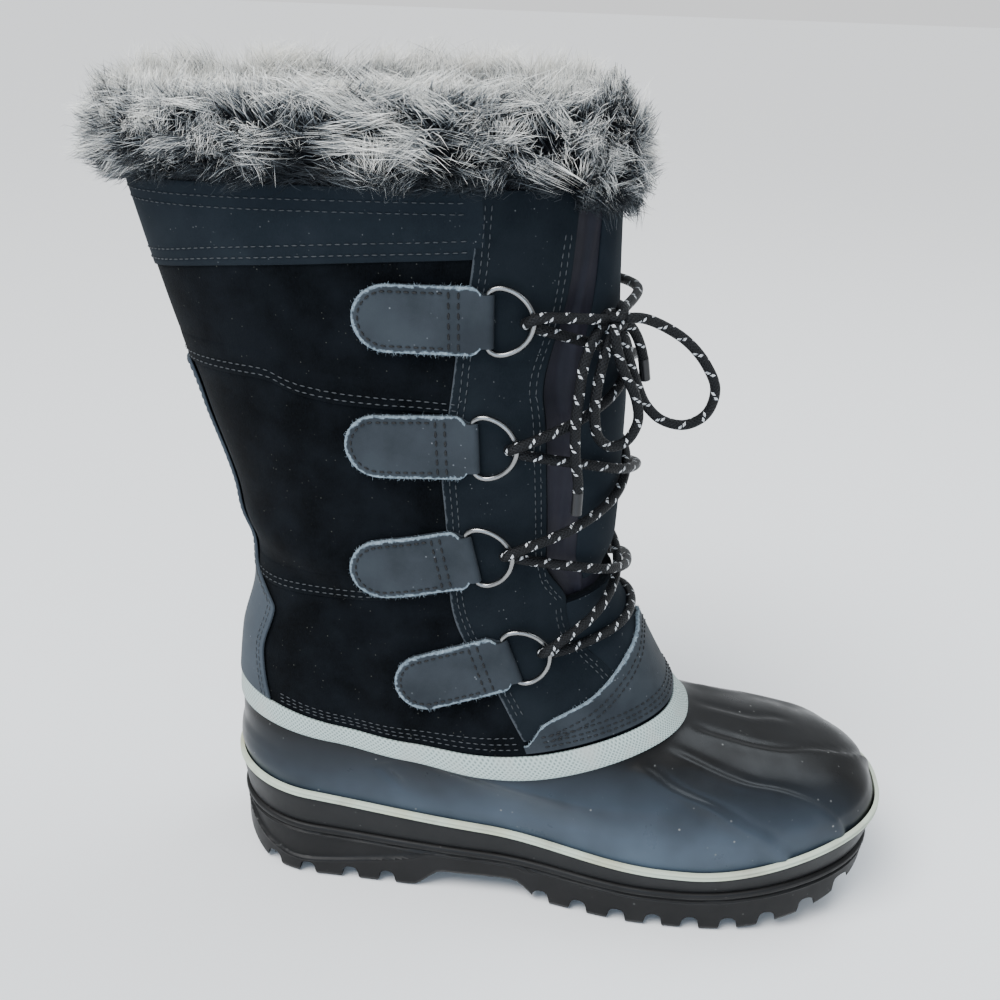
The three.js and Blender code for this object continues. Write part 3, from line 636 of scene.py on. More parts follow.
def build_grain(nodes, links, entry, leave):
    """Leather grain: pebbles and pores as a height, and a mottle for colour."""
    where = entry.outputs["Place"]
    cells = nodes.new("ShaderNodeTexVoronoi")
    cells.feature = "SMOOTH_F1"
    links.new(where, cells.inputs["Vector"])
    links.new(entry.outputs["Pebble Scale"], cells.inputs["Scale"])
    fine = noise(nodes, links, where, 2600, 2)
    links.new(number(nodes, links, "ADD", cells.outputs["Distance"], fine), leave.inputs["Height"])
    mottle = noise(nodes, links, where, 55, 5, 0.6)
    links.new(spread(nodes, links, mottle, 0.35, 0.65), leave.inputs["Mottle"])


def build_nap(nodes, links, entry, leave):
    """Brushed nap: streaky short hair as a height, and patches where the nap lies turned, which are lightened
    as painted sheen.
    """
    stretch = nodes.new("ShaderNodeVectorMath")
    stretch.operation = "MULTIPLY"
    stretch.inputs[1].default_value = (1, 1, 0.35)
    links.new(entry.outputs["Place"], stretch.inputs[0])
    hair = noise(nodes, links, stretch.outputs[0], 2200, 3, 0.7)
    links.new(hair, leave.inputs["Height"])
    patches = noise(nodes, links, entry.outputs["Place"], 38, 4, 0.6)
    links.new(spread(nodes, links, patches, 0.4, 0.65), leave.inputs["Sheen_Patches"])


def build_diagonal_weave(nodes, links, entry, leave):
    """A diagonal weave: two crossing sets of ribs over u and v in millimetres."""
    parts = nodes.new("ShaderNodeSeparateXYZ")
    links.new(entry.outputs["Place"], parts.inputs[0])
    u, v = parts.outputs[0], parts.outputs[1]
    ribs = []
    for slope in (1.0, -1.0):
        slanted = number(nodes, links, "ADD", u, number(nodes, links, "MULTIPLY", v, slope))
        turned = number(nodes, links, "MULTIPLY", slanted, entry.outputs["Rib Scale"])
        ribs.append(number(nodes, links, "SINE", turned))
    high = number(nodes, links, "MAXIMUM", ribs[0], number(nodes, links, "MULTIPLY", ribs[1], 0.8))
    links.new(spread(nodes, links, high, -0.8, 1.0), leave.inputs["Height"])


FLOAT, VECTOR = "NodeSocketFloat", "NodeSocketVector"
DUST = group("dust", [("Place", VECTOR, None), ("Speck Scale", FLOAT, 240.0), ("Specks", FLOAT, 1.0),
                      ("Cloud", FLOAT, 1.0)], [("Specks", FLOAT), ("Cloud", FLOAT)], build_dust)
GRAIN = group("grain", [("Place", VECTOR, None), ("Pebble Scale", FLOAT, 900.0)],
              [("Height", FLOAT), ("Mottle", FLOAT)], build_grain)
NAP = group("nap", [("Place", VECTOR, None)], [("Height", FLOAT), ("Sheen_Patches", FLOAT)], build_nap)
DIAGONAL_WEAVE = group("diagonal_weave", [("Place", VECTOR, None), ("Rib Scale", FLOAT, 4.0)],
                       [("Height", FLOAT)], build_diagonal_weave)


class Finish:
    """A material being built: its nodes, its shader and the place that its patterns read."""

    def __init__(self, name, rough, sheen=0.0, metal=0.0, place="Object", specular=0.5):
        self.material = bpy.data.materials.new(name)
        self.material.use_nodes = True
        self.nodes = self.material.node_tree.nodes
        self.links = self.material.node_tree.links
        self.shader = self.nodes["Principled BSDF"]
        self.shader.inputs["Roughness"].default_value = rough
        self.shader.inputs["Metallic"].default_value = metal
        self.shader.inputs["Sheen Weight"].default_value = sheen
        self.shader.inputs["Sheen Roughness"].default_value = 0.45
        self.shader.inputs["Specular IOR Level"].default_value = specular
        self.place = self.nodes.new("ShaderNodeTexCoord").outputs[place]

    def use(self, tree, **values):
        node = self.nodes.new("ShaderNodeGroup")
        node.node_tree = tree
        self.links.new(self.place, node.inputs["Place"])
        for title, value in values.items():
            node.inputs[title.replace("_", " ")].default_value = value
        return node.outputs

    def noise(self, scale, detail=2.0, rough=0.5):
        return noise(self.nodes, self.links, self.place, scale, detail, rough)

    def number(self, operation, a, b=0.0, clamp=False):
        return number(self.nodes, self.links, operation, a, b, clamp)

    def spread(self, value, low, high, to_low=0.0, to_high=1.0):
        return spread(self.nodes, self.links, value, low, high, to_low, to_high)

    def blend(self, share, a, b):
        return blended(self.nodes, self.links, share, a, b)

    def split(self, value):
        parts = self.nodes.new("ShaderNodeSeparateXYZ")
        self.links.new(value, parts.inputs[0])
        return parts.outputs

    def color(self, value):
        if isinstance(value, (tuple, list)):
            self.shader.inputs["Base Color"].default_value = (*value, 1)
        else:
            self.links.new(value, self.shader.inputs["Base Color"])

    def rough(self, value):
        self.links.new(value, self.shader.inputs["Roughness"])

    def bump(self, height, distance, strength):
        node = self.nodes.new("ShaderNodeBump")
        node.inputs["Distance"].default_value = distance * MM
        node.inputs["Strength"].default_value = strength
        self.links.new(height, node.inputs["Height"])
        self.links.new(node.outputs[0], self.shader.inputs["Normal"])


def napped_leather(name, dark, light, lint, specks, distance, edged=False):
    """Brushed leather. edged says that u is the distance from a worn edge."""
    f = Finish(name, 0.95, sheen=0.02, specular=0.06)
    nap = f.use(NAP)
    dust = f.use(DUST, Speck_Scale=420.0, Specks=specks, Cloud=0.5)
    # Painted sheen: patches of turned nap are lightened towards the light colour.
    base = f.blend(nap["Sheen_Patches"], dark, light)
    streaks = f.spread(nap["Height"], 0.35, 0.7, 0.0, 0.5)
    base = f.blend(streaks, base, light)
    if edged:
        distance_in = f.split(f.nodes.new("ShaderNodeTexCoord").outputs["UV"])[0]
        ragged = f.number("ADD", distance_in, f.spread(f.noise(500, 4, 0.7), 0.3, 0.7, -0.3, 0.4))
        base = f.blend(f.spread(ragged, 0.75, 0.45), base, (0.05, 0.056, 0.062))
    f.color(f.blend(dust["Specks"], base, lint))
    f.bump(nap["Height"], distance, 0.6)
    return f.material


def grained(f, dark, light, scuff):
    """The grain of smooth leather, and its colour with mottle, scuffs and specks."""
    grain = f.use(GRAIN, Pebble_Scale=1100.0)
    dust = f.use(DUST, Speck_Scale=330.0, Specks=0.5, Cloud=0.6)
    base = f.blend(grain["Mottle"], dark, light)
    base = f.blend(dust["Cloud"], base, scuff)
    return grain, f.blend(dust["Specks"], base, (0.3, 0.31, 0.33))


def smooth_leather(name, dark, light, scuff):
    f = Finish(name, 0.62, specular=0.14)
    grain, base = grained(f, dark, light, scuff)
    f.color(base)
    f.rough(f.spread(grain["Mottle"], 0, 1, 0.55, 0.72))
    f.bump(grain["Height"], 0.1, 0.35)
    return f.material


def moulded_rubber(name, dark, dusty, low_rough, high_rough, cloud, specks, shine, painted_sky_reflection=None):
    """Black rubber, with a bluish painted reflection of the sky on the outer side, low down, when that colour
    is given.
    """
    f = Finish(name, 0.4, specular=shine)
    dust = f.use(DUST, Speck_Scale=210.0, Specks=specks, Cloud=cloud)
    base = f.blend(dust["Cloud"], dark, dusty)
    if painted_sky_reflection is not None:
        # Painted reflection: a patchy bluish sheen low on the outer side, where the sky is mirrored.
        place = f.split(f.place)
        outer = f.spread(place[1], -0.012, -0.05)
        lower = f.spread(place[2], 0.075, 0.045)
        patchy = f.spread(f.noise(22, 3), 0.25, 0.7, 0.3, 1.0)
        base = f.blend(f.number("MULTIPLY", f.number("MULTIPLY", outer, lower), patchy), base, painted_sky_reflection)
    f.color(f.blend(dust["Specks"], base, (0.2, 0.2, 0.19)))
    smear = f.noise(60, 5, 0.65)
    f.rough(f.spread(smear, 0.3, 0.7, low_rough, high_rough))
    f.bump(f.noise(900, 3, 0.6), 0.05, 0.3)
    return f.material


def pale_rubber():
    f = Finish("pale_rubber", 0.6, specular=0.4)
    grime = f.spread(f.noise(75, 5, 0.6), 0.5, 0.75)
    stain = f.spread(f.noise(24, 2), 0.52, 0.68)
    base = f.blend(stain, (0.47, 0.525, 0.42), (0.44, 0.43, 0.28))
    f.color(f.blend(grime, base, (0.36, 0.36, 0.28)))
    f.bump(f.noise(700, 3), 0.05, 0.3)
    return f.material


def woven_tape():
    f = Finish("woven_tape", 0.85, sheen=0.1, place="UV", specular=0.25)
    weave = f.use(DIAGONAL_WEAVE, Rib_Scale=3.1)
    base = f.blend(weave["Height"], (0.17, 0.22, 0.205), (0.45, 0.535, 0.505))
    f.color(f.blend(f.spread(f.noise(0.06, 4), 0.5, 0.75), base, (0.4, 0.43, 0.4)))
    f.bump(weave["Height"], 0.22, 0.8)
    return f.material


def raw_edge(name, dark, light):
    f = Finish(name, 0.95, specular=0.2)
    f.color(f.blend(f.spread(f.noise(700, 4, 0.7), 0.35, 0.65), dark, light))
    f.bump(f.noise(1500, 4, 0.7), 0.4, 0.8)
    return f.material


def fur_hair(name, root, middle, tip, stray_and_shaded):
    f = Finish(name, 0.75, place="UV", specular=0.3)
    u, v = f.split(f.place)[:2]
    # The hair runs from a near-black root to a pale tip; the near-black root is partly the hair's own colour
    # and partly painted shade deep in the fur.
    ramp = f.nodes.new("ShaderNodeValToRGB")
    ramp.color_ramp.elements[0].color = (*root, 1)
    ramp.color_ramp.elements[0].position = 0.3
    ramp.color_ramp.elements[1].color = (*tip, 1)
    ramp.color_ramp.elements[1].position = 0.72
    half = ramp.color_ramp.elements.new(0.5)
    half.color = (*middle, 1)
    shifted = f.number("ADD", v, f.spread(u, 0, 1, -0.5, 0.18))
    f.links.new(shifted, ramp.inputs[0])
    # The darkest-toned hairs take the darkest colour: a few dark strays, and the hairs darkened as painted
    # shade low on the collar.
    dark_hair = f.spread(u, 0.14, 0.08)
    f.color(f.blend(dark_hair, ramp.outputs[0], stray_and_shaded))
    return f.material


def under_fur():
    f = Finish("under_fur", 1.0, specular=0.1)
    f.color(f.blend(f.spread(f.noise(300, 3), 0.4, 0.7), (0.002, 0.002, 0.003), (0.012, 0.012, 0.014)))
    f.bump(f.noise(500, 4, 0.7), 2.0, 1.0)
    return f.material


def braided_cord():
    """Black braid with pairs of white flecks, on a tube's u and v."""
    f = Finish("braided_cord", 0.5, place="UV", specular=0.2)
    u, v = f.split(f.place)[:2]
    flecks = []
    for row in range(3):
        slide = f.number("ADD", f.number("MULTIPLY", v, 1 / FLECK_PITCH), row * 0.43)
        along = f.number("FRACT", slide)
        slant = f.number("ADD", f.number("MULTIPLY", along, 0.6), row / 3)
        turned = f.number("FRACT", f.number("ADD", u, slant))
        beside = f.number("LESS_THAN", f.number("ABSOLUTE", f.number("SUBTRACT", turned, 0.5)), 0.055)
        first = f.number("LESS_THAN", along, 0.13)
        after, before = f.number("GREATER_THAN", along, 0.2), f.number("LESS_THAN", along, 0.31)
        second = f.number("MULTIPLY", after, before)
        flecks.append(f.number("MULTIPLY", beside, f.number("MAXIMUM", first, second)))
    fleck = f.number("MAXIMUM", flecks[0], f.number("MAXIMUM", flecks[1], flecks[2]))
    ribs = []
    for way in (1, -1):
        slanted = f.number("ADD", f.number("MULTIPLY", u, 16 * math.pi), f.number("MULTIPLY", v, way * 4.1))
        ribs.append(f.number("SINE", slanted))
    strand = f.spread(f.number("MAXIMUM", *ribs), -0.6, 1.0)
    base = f.blend(strand, (0.0004, 0.0004, 0.0006), (0.0055, 0.006, 0.0072))
    worn = f.spread(f.noise(4.0, 2), 0.5, 0.6)
    fleck = f.number("MULTIPLY", fleck, f.number("SUBTRACT", 1.0, f.number("MULTIPLY", worn, 0.8)))
    f.color(f.blend(fleck, base, (0.72, 0.73, 0.74)))
    f.bump(strand, 0.3, 0.9)
    return f.material


FLECK_PITCH = 9.5

SUEDE = napped_leather("suede", (0.0004, 0.0007, 0.0011), (0.0042, 0.0056, 0.0075),
                       (0.10, 0.10, 0.085), 0.7, 0.35)
NUBUCK = napped_leather("nubuck", (0.0085, 0.0118, 0.0155), (0.0135, 0.0178, 0.0225),
                        (0.15, 0.155, 0.155), 0.8, 0.12)
WORN_NUBUCK = napped_leather("worn_nubuck", (0.006, 0.0085, 0.0112), (0.010, 0.0134, 0.0168),
                             (0.15, 0.155, 0.155), 0.8, 0.12, edged=True)
LEATHER = smooth_leather("leather", (0.031, 0.039, 0.048), (0.046, 0.056, 0.068), (0.058, 0.070, 0.083))
RAW_EDGE = raw_edge("raw_edge", (0.07, 0.095, 0.115), (0.27, 0.335, 0.38))
DARK_EDGE = raw_edge("dark_raw_edge", (0.03, 0.033, 0.037), (0.12, 0.13, 0.14))
# The shell has a painted bluish reflection low on its outer side.
SHELL_RUBBER = moulded_rubber("shell_rubber", (0.0036, 0.0034, 0.0034), (0.007, 0.007, 0.0074),
                              0.26, 0.42, 0.6, 0.8, 0.22, painted_sky_reflection=(0.078, 0.107, 0.142))
SOLE_RUBBER = moulded_rubber("sole_rubber", (0.0045, 0.0042, 0.0042), (0.011, 0.0105, 0.0105),
                             0.4, 0.6, 0.7, 0.3, 0.22)
BAND_RUBBER = moulded_rubber("band_rubber", (0.0085, 0.0085, 0.0088), (0.015, 0.0152, 0.0156),
                             0.4, 0.55, 0.5, 0.2, 0.2)
PALE_RUBBER = pale_rubber()
TAPE = woven_tape()
HAIR = fur_hair("fur_hair", (0.002, 0.003, 0.005), (0.16, 0.175, 0.185), (0.96, 0.935, 0.87),
                (0.02, 0.024, 0.028))
UNDER_FUR = under_fur()
CORD = braided_cord()


def thread(name, color):
    f = Finish(name, 0.6, specular=0.4)
    f.color(f.blend(f.spread(f.noise(1800, 2), 0.3, 0.7), color, tuple(c * 1.7 for c in color)))
    return f.material


BLACK_THREAD = thread("black_thread", (0.0008, 0.0008, 0.001))
GREY_THREAD = thread("grey_thread", (0.028, 0.031, 0.034))


def plain_weave():
    f = Finish("nylon", 0.6, sheen=0.02, specular=0.2)
    weave = f.noise(1400, 1)
    f.color(f.blend(f.spread(f.noise(40, 3), 0.35, 0.7), (0.008, 0.0075, 0.0115), (0.02, 0.0185, 0.027)))
    f.bump(weave, 0.1, 0.5)
    return f.material


def fleece():
    f = Finish("fleece", 1.0, sheen=0.2, specular=0.1)
    f.color(f.blend(f.noise(400, 4, 0.7), (0.02, 0.02, 0.022), (0.08, 0.08, 0.085)))
    f.bump(f.noise(900, 4, 0.7), 0.8, 0.8)
    return f.material


def polished_steel():
    f = Finish("steel", 0.22, metal=1.0)
    f.color(f.blend(f.noise(220, 3), (0.14, 0.14, 0.14), (0.30, 0.30, 0.295)))
    f.rough(f.spread(f.noise(500, 3), 0.3, 0.7, 0.16, 0.34))
    return f.material


def sleeve():
    f = Finish("aglet", 0.3, specular=0.4)
    f.color(f.blend(f.noise(300, 3), (0.004, 0.004, 0.005), (0.012, 0.012, 0.013)))
    return f.material


AGLET = sleeve()
NYLON = plain_weave()
FLEECE = fleece()
STEEL = polished_steel()


# ---------------------------------------------------------------- lace
def lace_tube(name, line):
    return tube(name, line, LACE, 16)


AGLET_STEPS = 14


def add_bow():
    knot = np.array(KNOT)
    parts = {"lace_loop_a": LOOP_A, "lace_loop_b": LOOP_B, "lace_end_a": END_A, "lace_end_b": END_B}
    for name, points in parts.items():
        start = mix(np.array(points[0]), knot, 0.8 if name == "lace_end_b" else 0.45)
        points = [start, *points]
        if "loop" in name:
            points.append(mix(np.array(points[-1]), knot, 0.45))
        line = route(points, 0.7)
        piece = finish_piece(lace_tube("bow_" + name[5:], line), "lace", name, materials=[CORD])
        if "end" in name:
            ahead = unit(line[-1:] - line[-2:-1])
            tip = tube("aglet_" + name[-1], line[-AGLET_STEPS:] + ahead * 0.3, LACE + 0.12, 16)
            finish_piece(tip, "lace", materials=[AGLET])
    turn = np.linspace(0, 1, 60)
    angle = 2 * np.pi * 2.2 * turn
    up = 8.5 * (turn - 0.5) + np.sin(angle)
    wrap = np.stack([3.1 * np.cos(angle), 2.7 * np.sin(angle), up], -1) + knot
    piece = lace_tube("bow_knot", evenly(wrap, 0.6))
    finish_piece(piece, "lace", "lace_knot", materials=[CORD])


add_bow()

# ---------------------------------------------------------------- sole
def belt(name, section, level, columns, material, slot, *nodes):
    """A ring round the boot with a closed section of (out, up) points."""
    loop = np.array([*section, section[0]], float)
    far = np.linspace(0, 1, len(loop))

    def place(u, v):
        out, up = np.interp(v, far, loop[:, 0]), np.interp(v, far, loop[:, 1])
        return surface(level, 1 - u, out) + up[:, None] * np.array([0, 0, 1.0])

    piece = laid_grid(name, columns, len(loop) - 1, place, closed=True)
    outward_faces(piece)
    smooth_shade(piece, 50)
    return finish_piece(piece, slot, *nodes, materials=[material])


def outward_faces(piece):
    only(piece)
    bpy.ops.object.mode_set(mode="EDIT")
    bpy.ops.mesh.select_all(action="SELECT")
    bpy.ops.mesh.normals_make_consistent(inside=False)
    bpy.ops.object.mode_set(mode="OBJECT")


def add_stripe_and_band():
    half = STRIPE_HALF
    lip = [(0.9, -half), (2.2, -half), (2.75, -half + 0.4), (2.8, -0.75), (2.3, -0.25),
           (2.3, 0.25), (2.8, 0.75), (2.75, half - 0.4), (2.2, half), (0.9, half)]
    belt("stripe", lip, 1.0, 300, PALE_RUBBER, "pale_rubber", "foxing_stripe")

    def band(u, v):
        turn = 1 - u
        low, high = surface(BAND_FOOT, turn, 2.05), surface(1.0, turn, 2.05) - np.array([0, 0, half + 0.3])
        across = curve(v, (0, 0.06, 0.94, 1), (0, 0.06, 0.94, 1))[:, None]
        return mix(low, high, across)

    piece = laid_grid("band", 260, 6, band, closed=True)
    face_out(piece)
    thicken(piece, 1.7, 0.5)
    finish_piece(piece, "sole_rubber", "foxing_band", materials=[BAND_RUBBER])


# The sole's side from the band's foot down: distance below it, and how far it stands out.
SIDE_DOWN = (0, 0.4, 1.0, 2.2, 3.1, 3.6, 4.0, 4.6, 4.9, 5.3, 5.7, 6.0, 7.5)
SIDE_OUT = (2.2, 3.1, 3.5, 3.5, 3.1, 2.3, 2.1, 2.1, 2.8, 3.0, 2.9, 2.5, 2.45)
# A second line closes a leaf-shaped hollow in the side: how far down it lies, as a share of the height.
LEAF_X = (-44, -38, -31, -14, 0, 20, 40, 53)
LEAF_SHARE = (0.2, 0.45, 0.57, 0.72, 0.68, 0.55, 0.36, 0.2)


def add_outsole():
    tread_out = 1.0

    def place(u, v):
        turn = 1 - u
        foot = surface(BAND_FOOT, turn, 0.0)
        outward = normal_at(BAND_FOOT + 0 * turn, turn)
        outward[:, 2] = 0
        outward = unit(outward)
        edge = foot + outward * tread_out
        ground = underside(edge[:, 0])
        top = foot[:, 2] - 0.35
        # v to 0.2 is the tread from the middle out, to 0.3 its rounded edge, to 0.85 the side, then the top.
        share = np.clip((v - 0.3) / 0.55, 0, 1)
        tall = top - ground - 2.4
        down = (1 - share) * tall
        out = np.interp(down, SIDE_DOWN, SIDE_OUT)
        leaf = curve(foot[:, 0], LEAF_X, LEAF_SHARE) * (top - ground)
        leaf = np.where((foot[:, 0] > LEAF_X[0]) & (foot[:, 0] < LEAF_X[-1]), leaf, 0)
        out = out - 1.1 * (down > 6.0) * ease((leaf - 0.6 - down) / 0.8)
        out = out + 0.45 * (leaf > 6) * np.exp(-(((down - leaf) / 0.42) ** 2))
        side = foot + outward * out[:, None]
        side[:, 2] = top - down
        middle = foot.copy()
        middle[:, 1] = middle_line(foot[:, 0])
        low_edge = edge.copy()
        low_edge[:, 2] = ground
        bottom = mix(middle, low_edge, np.clip(v / 0.2, 0, 1)[:, None])
        bottom[:, 2] = underside(bottom[:, 0])
        bend = np.clip((v - 0.2) / 0.1, 0, 1)[:, None]
        turned = mix(low_edge, foot + outward * 2.5, bend)
        turned[:, 2] = ground + 2.4 * bend[:, 0] ** 1.6
        lid = mix(foot + outward * 0.4, middle, np.clip((v - 0.85) / 0.15, 0, 1)[:, None])
        lid[:, 2] = top
        made = np.where((v < 0.2)[:, None], bottom, np.where((v < 0.3)[:, None], turned, side))
        return np.where((v > 0.86)[:, None], lid, made)

    sole = laid_grid("sole", 260, 120, place, closed=True)
    outward_faces(sole)
    grooves = [cutting_box("groove", x, 0, underside(x) + LUG_DEPTH + 1.8, 6.0, 150, 2.4, 0.5)
               for x in GROOVES_X]
    cut_away(sole, grooves)
    channels = [cutting_box("channel", (a + b) / 2, s * y, LUG_DEPTH, b - a, 4, 1.2)
                for a, b, y in CHANNELS for s in (-1, 1)]
    cut_away(sole, channels)
    smooth_shade(sole, 40)
    finish_piece(sole, "sole_rubber", "outsole", materials=[SOLE_RUBBER])


def cutting_box(name, x, y, top, long, wide, rounded, flare=0.0):
    """A rounded box from under the floor up to a height. flare is how much wider it is below."""
    bpy.ops.object.select_all(action="DESELECT")
    bpy.ops.mesh.primitive_cube_add(size=1)
    box = bpy.context.object
    box.name = name
    low = -9
    for vertex in box.data.vertices:
        vertex.co.x *= 1 + 2 * flare * (vertex.co.z < 0)
        vertex.co = Vector((x + vertex.co.x * long, y + vertex.co.y * wide,
                            low + (vertex.co.z + 0.5) * (top - low))) * MM
    apply(box, "BEVEL", width=rounded * MM, segments=4, limit_method="NONE")
    return box


def joined(pieces):
    """One piece from several."""
    bpy.ops.object.select_all(action="DESELECT")
    for piece in pieces:
        piece.select_set(True)
    bpy.context.view_layer.objects.active = pieces[0]
    if len(pieces) > 1:
        bpy.ops.object.join()
    return pieces[0]


def cut_away(body, tools):
    tool = joined(tools)
    apply(body, "BOOLEAN", operation="DIFFERENCE", solver="EXACT", object=tool)
    bpy.data.objects.remove(tool)


def add_insole():
    def place(u, v):
        turn = 1 - u
        rim = surface(0.02, turn, -SHELL_WALL - 0.8)
        middle = rim.copy()
        middle[:, 1] = middle_line(rim[:, 0])
        across = curve(v, (0, 0.45, 0.5, 0.55, 1), (0, 0.97, 1, 0.97, 0))[:, None]
        up = curve(v, (0, 0.45, 0.5, 0.55, 1), (5, 4.6, 2.5, 0.4, 0))
        return mix(middle, rim, across) + up[:, None] * np.array([0, 0, 1.0])

    piece = laid_grid("footbed", 120, 24, place, closed=True)
    outward_faces(piece)
    smooth_shade(piece, 60)
    finish_piece(piece, "felt", "insole", materials=[FLEECE])


add_stripe_and_band()
add_outsole()
add_insole()

# ---------------------------------------------------------------- shell and tape
# Ridges down the shell: levels, turns, and how high they stand at each end of the row.
RIDGES = (
    ((5.75, 5.60, 4.38, 2.95, 2.29, 1.1), (0.110, 0.117, 0.139, 0.142, 0.133, 0.122), 0.9, 1.7),
    ((5.75, 5.67, 4.93, 4.29, 3.83, 3.13, 2.02, 1.1),
     (0.08, 0.082, 0.094, 0.099, 0.092, 0.088, 0.081, 0.078), 0.9, 1.6),
    ((5.77, 5.36, 4.95, 4.49, 3.96, 3.09, 1.0), (0.034, 0.039, 0.039, 0.034, 0.017, 0.005, -0.02), 0.8, 1.2),
    ((5.78, 5.33, 4.93, 4.51), (-0.001, -0.003, -0.004, -0.013), 0.8, 0.5),
    ((5.70, 4.93, 4.29, 3.13, 2.02, 1.1), (-0.06, -0.072, -0.085, -0.080, -0.074, -0.07), 0.9, 1.5),
    ((5.60, 4.38, 2.95, 2.29, 1.1), (-0.11, -0.130, -0.135, -0.128, -0.12), 0.9, 1.5),
)


def shell_relief(level, turn):
    """How far the shell's moulded ridges stand out and its side dents sink."""
    turn = (turn + 0.5) % 1 - 0.5
    speed = np.linalg.norm(last_point(level, turn + 0.003) - last_point(level, turn - 0.003), axis=-1) / 0.006
    out = np.zeros_like(turn)
    for levels, turns, high, low in RIDGES:
        line = curve(level, levels[::-1], turns[::-1])
        off = (turn - line) * speed
        share = (levels[0] - level) / (levels[0] - levels[-1])
        width = np.where(off > 0, 5.5, 1.9)
        ends = ease((levels[0] + 0.1 - level) / 0.5) * ease((level - levels[-1] + 0.35) / 0.5)
        out += mix(high, low, np.clip(share, 0, 1)) * np.exp(-((off / width) ** 2)) * ends
        out -= 0.5 * np.exp(-(((off + 4.2) / 2.2) ** 2)) * ends
    for side in (1, -1):
        off = (turn * side - curve(level, (2.22, 4.04, 5, 6.1), (0.318, 0.320, 0.302, 0.283))) * speed
        deep = ease((level - 2.0) / 1.8) * ease((6.9 - level) / 0.7)
        out -= 1.9 * deep * np.exp(-((off / (1.9 + 1.2 * np.clip(level - 2, 0, 4))) ** 2))
    off = (turn - 0.155) * speed
    out += 0.5 * np.exp(-((off / 2.2) ** 2)) * ease((2.6 - level) / 0.4) * ease((level - 1.2) / 0.3)
    return out


def add_shell():
    def place(u, v):
        level = SHELL_RIM * v
        turn = 1 - u
        return surface(level, turn, shell_relief(level, turn))

    piece = laid_grid("moulded_shell", 300, 66, place, closed=True)
    face_out(piece)
    thicken(piece, SHELL_WALL, 0.5)
    finish_piece(piece, "shell_rubber", "shell", materials=[SHELL_RUBBER])


def add_tape():
    low, high = 6.0, 7.05

    def place(u, v):
        return surface(mix(low, high, v), 1 - u, 1.75 - 0.5 * (2 * v - 1) ** 4)

    piece = laid_grid("tape", 260, 8, place, closed=True)
    loops = piece.data.uv_layers.active.data
    uv = np.zeros(len(loops) * 2)
    loops.foreach_get("uv", uv)
    uv = uv.reshape(-1, 2) * (520, 10)
    loops.foreach_set("uv", uv.ravel())
    face_out(piece)
    thicken(piece, OVERLAY, 0.3)
    finish_piece(piece, "webbing", "rand_tape", materials=[TAPE])


add_shell()
add_tape()

# ---------------------------------------------------------------- shaft
THROAT_COLUMNS, BODY_COLUMNS = 16, 136
SHAFT_ROWS_LOW, SHAFT_ROWS_HIGH = 24, 54


def turns_round(u, level):
    """Turns round the boot whose columns run along the throat's edges. u runs from 0 to 1."""
    half = throat_half(level)
    a = THROAT_COLUMNS / 2 / (THROAT_COLUMNS + BODY_COLUMNS)
    turn = np.where(u < a, u / a * half, mix(half, 1 - half, (u - a) / (1 - 2 * a)))
    return np.where(u > 1 - a, 1 - (1 - u) / a * half, turn)


def add_shaft():
    rows = SHAFT_ROWS_LOW + SHAFT_ROWS_HIGH
    split = SHAFT_ROWS_LOW / rows

    def level_at(v):
        low = mix(SHAFT_FOOT, THROAT_FOOT, v / split)
        return np.where(v < split, low, mix(THROAT_FOOT, RIM, (v - split) / (1 - split)))

    def place(u, v):
        level = level_at(v)
        return surface(level, turns_round(1 - u, level), 0.0)

    columns = THROAT_COLUMNS + BODY_COLUMNS
    piece = laid_grid("shaft_wall", columns, rows, place)
    side = THROAT_COLUMNS // 2
    mesh = piece.data
    picked = np.zeros(len(mesh.polygons), bool).reshape(rows, columns)
    picked[SHAFT_ROWS_LOW:, :side] = True
    picked[SHAFT_ROWS_LOW:, -side:] = True
    only(piece)
    bpy.ops.object.mode_set(mode="EDIT")
    bpy.ops.mesh.select_all(action="DESELECT")
    bpy.ops.object.mode_set(mode="OBJECT")
    bpy.ops.object.mode_set(mode="EDIT")
    bpy.ops.mesh.select_mode(type="FACE")
    bpy.ops.object.mode_set(mode="OBJECT")
    mesh.polygons.foreach_set("select", picked.ravel())
    bpy.ops.object.mode_set(mode="EDIT")
    bpy.ops.mesh.delete(type="FACE")
    bpy.ops.mesh.select_all(action="SELECT")
    bpy.ops.mesh.remove_doubles(threshold=1e-6)
    bpy.ops.object.mode_set(mode="OBJECT")
    face_out(piece)
    thicken(piece, SHAFT_WALL, 0.5, inner_material=1)
    finish_piece(piece, "suede", "shaft", materials=[SUEDE, FLEECE])


def panel(name, place, columns, rows, thickness, materials, slot, *nodes, edge=0.3, distance=None):
    """A leather panel: a laid sheet with its thickness below it, and its raw edge in the second material.

    distance(u, v) gives millimetres from the raw edge.
    """
    piece = laid_grid(name, columns, rows, place)
    if distance is not None:
        set_distance(piece, distance)
    face_out(piece)
    thicken(piece, thickness, edge, rim_material=1)
    return finish_piece(piece, slot, *nodes, materials=materials)


def set_distance(piece, distance):
    """Writes millimetres from the raw edge into the sheet's u."""
    data = piece.data.uv_layers.active.data
    uv = np.zeros(len(data) * 2)
    data.foreach_get("uv", uv)
    uv = uv.reshape(-1, 2)
    uv[:, 0] = distance(uv[:, 0].copy(), uv[:, 1].copy())
    data.foreach_set("uv", uv.ravel())


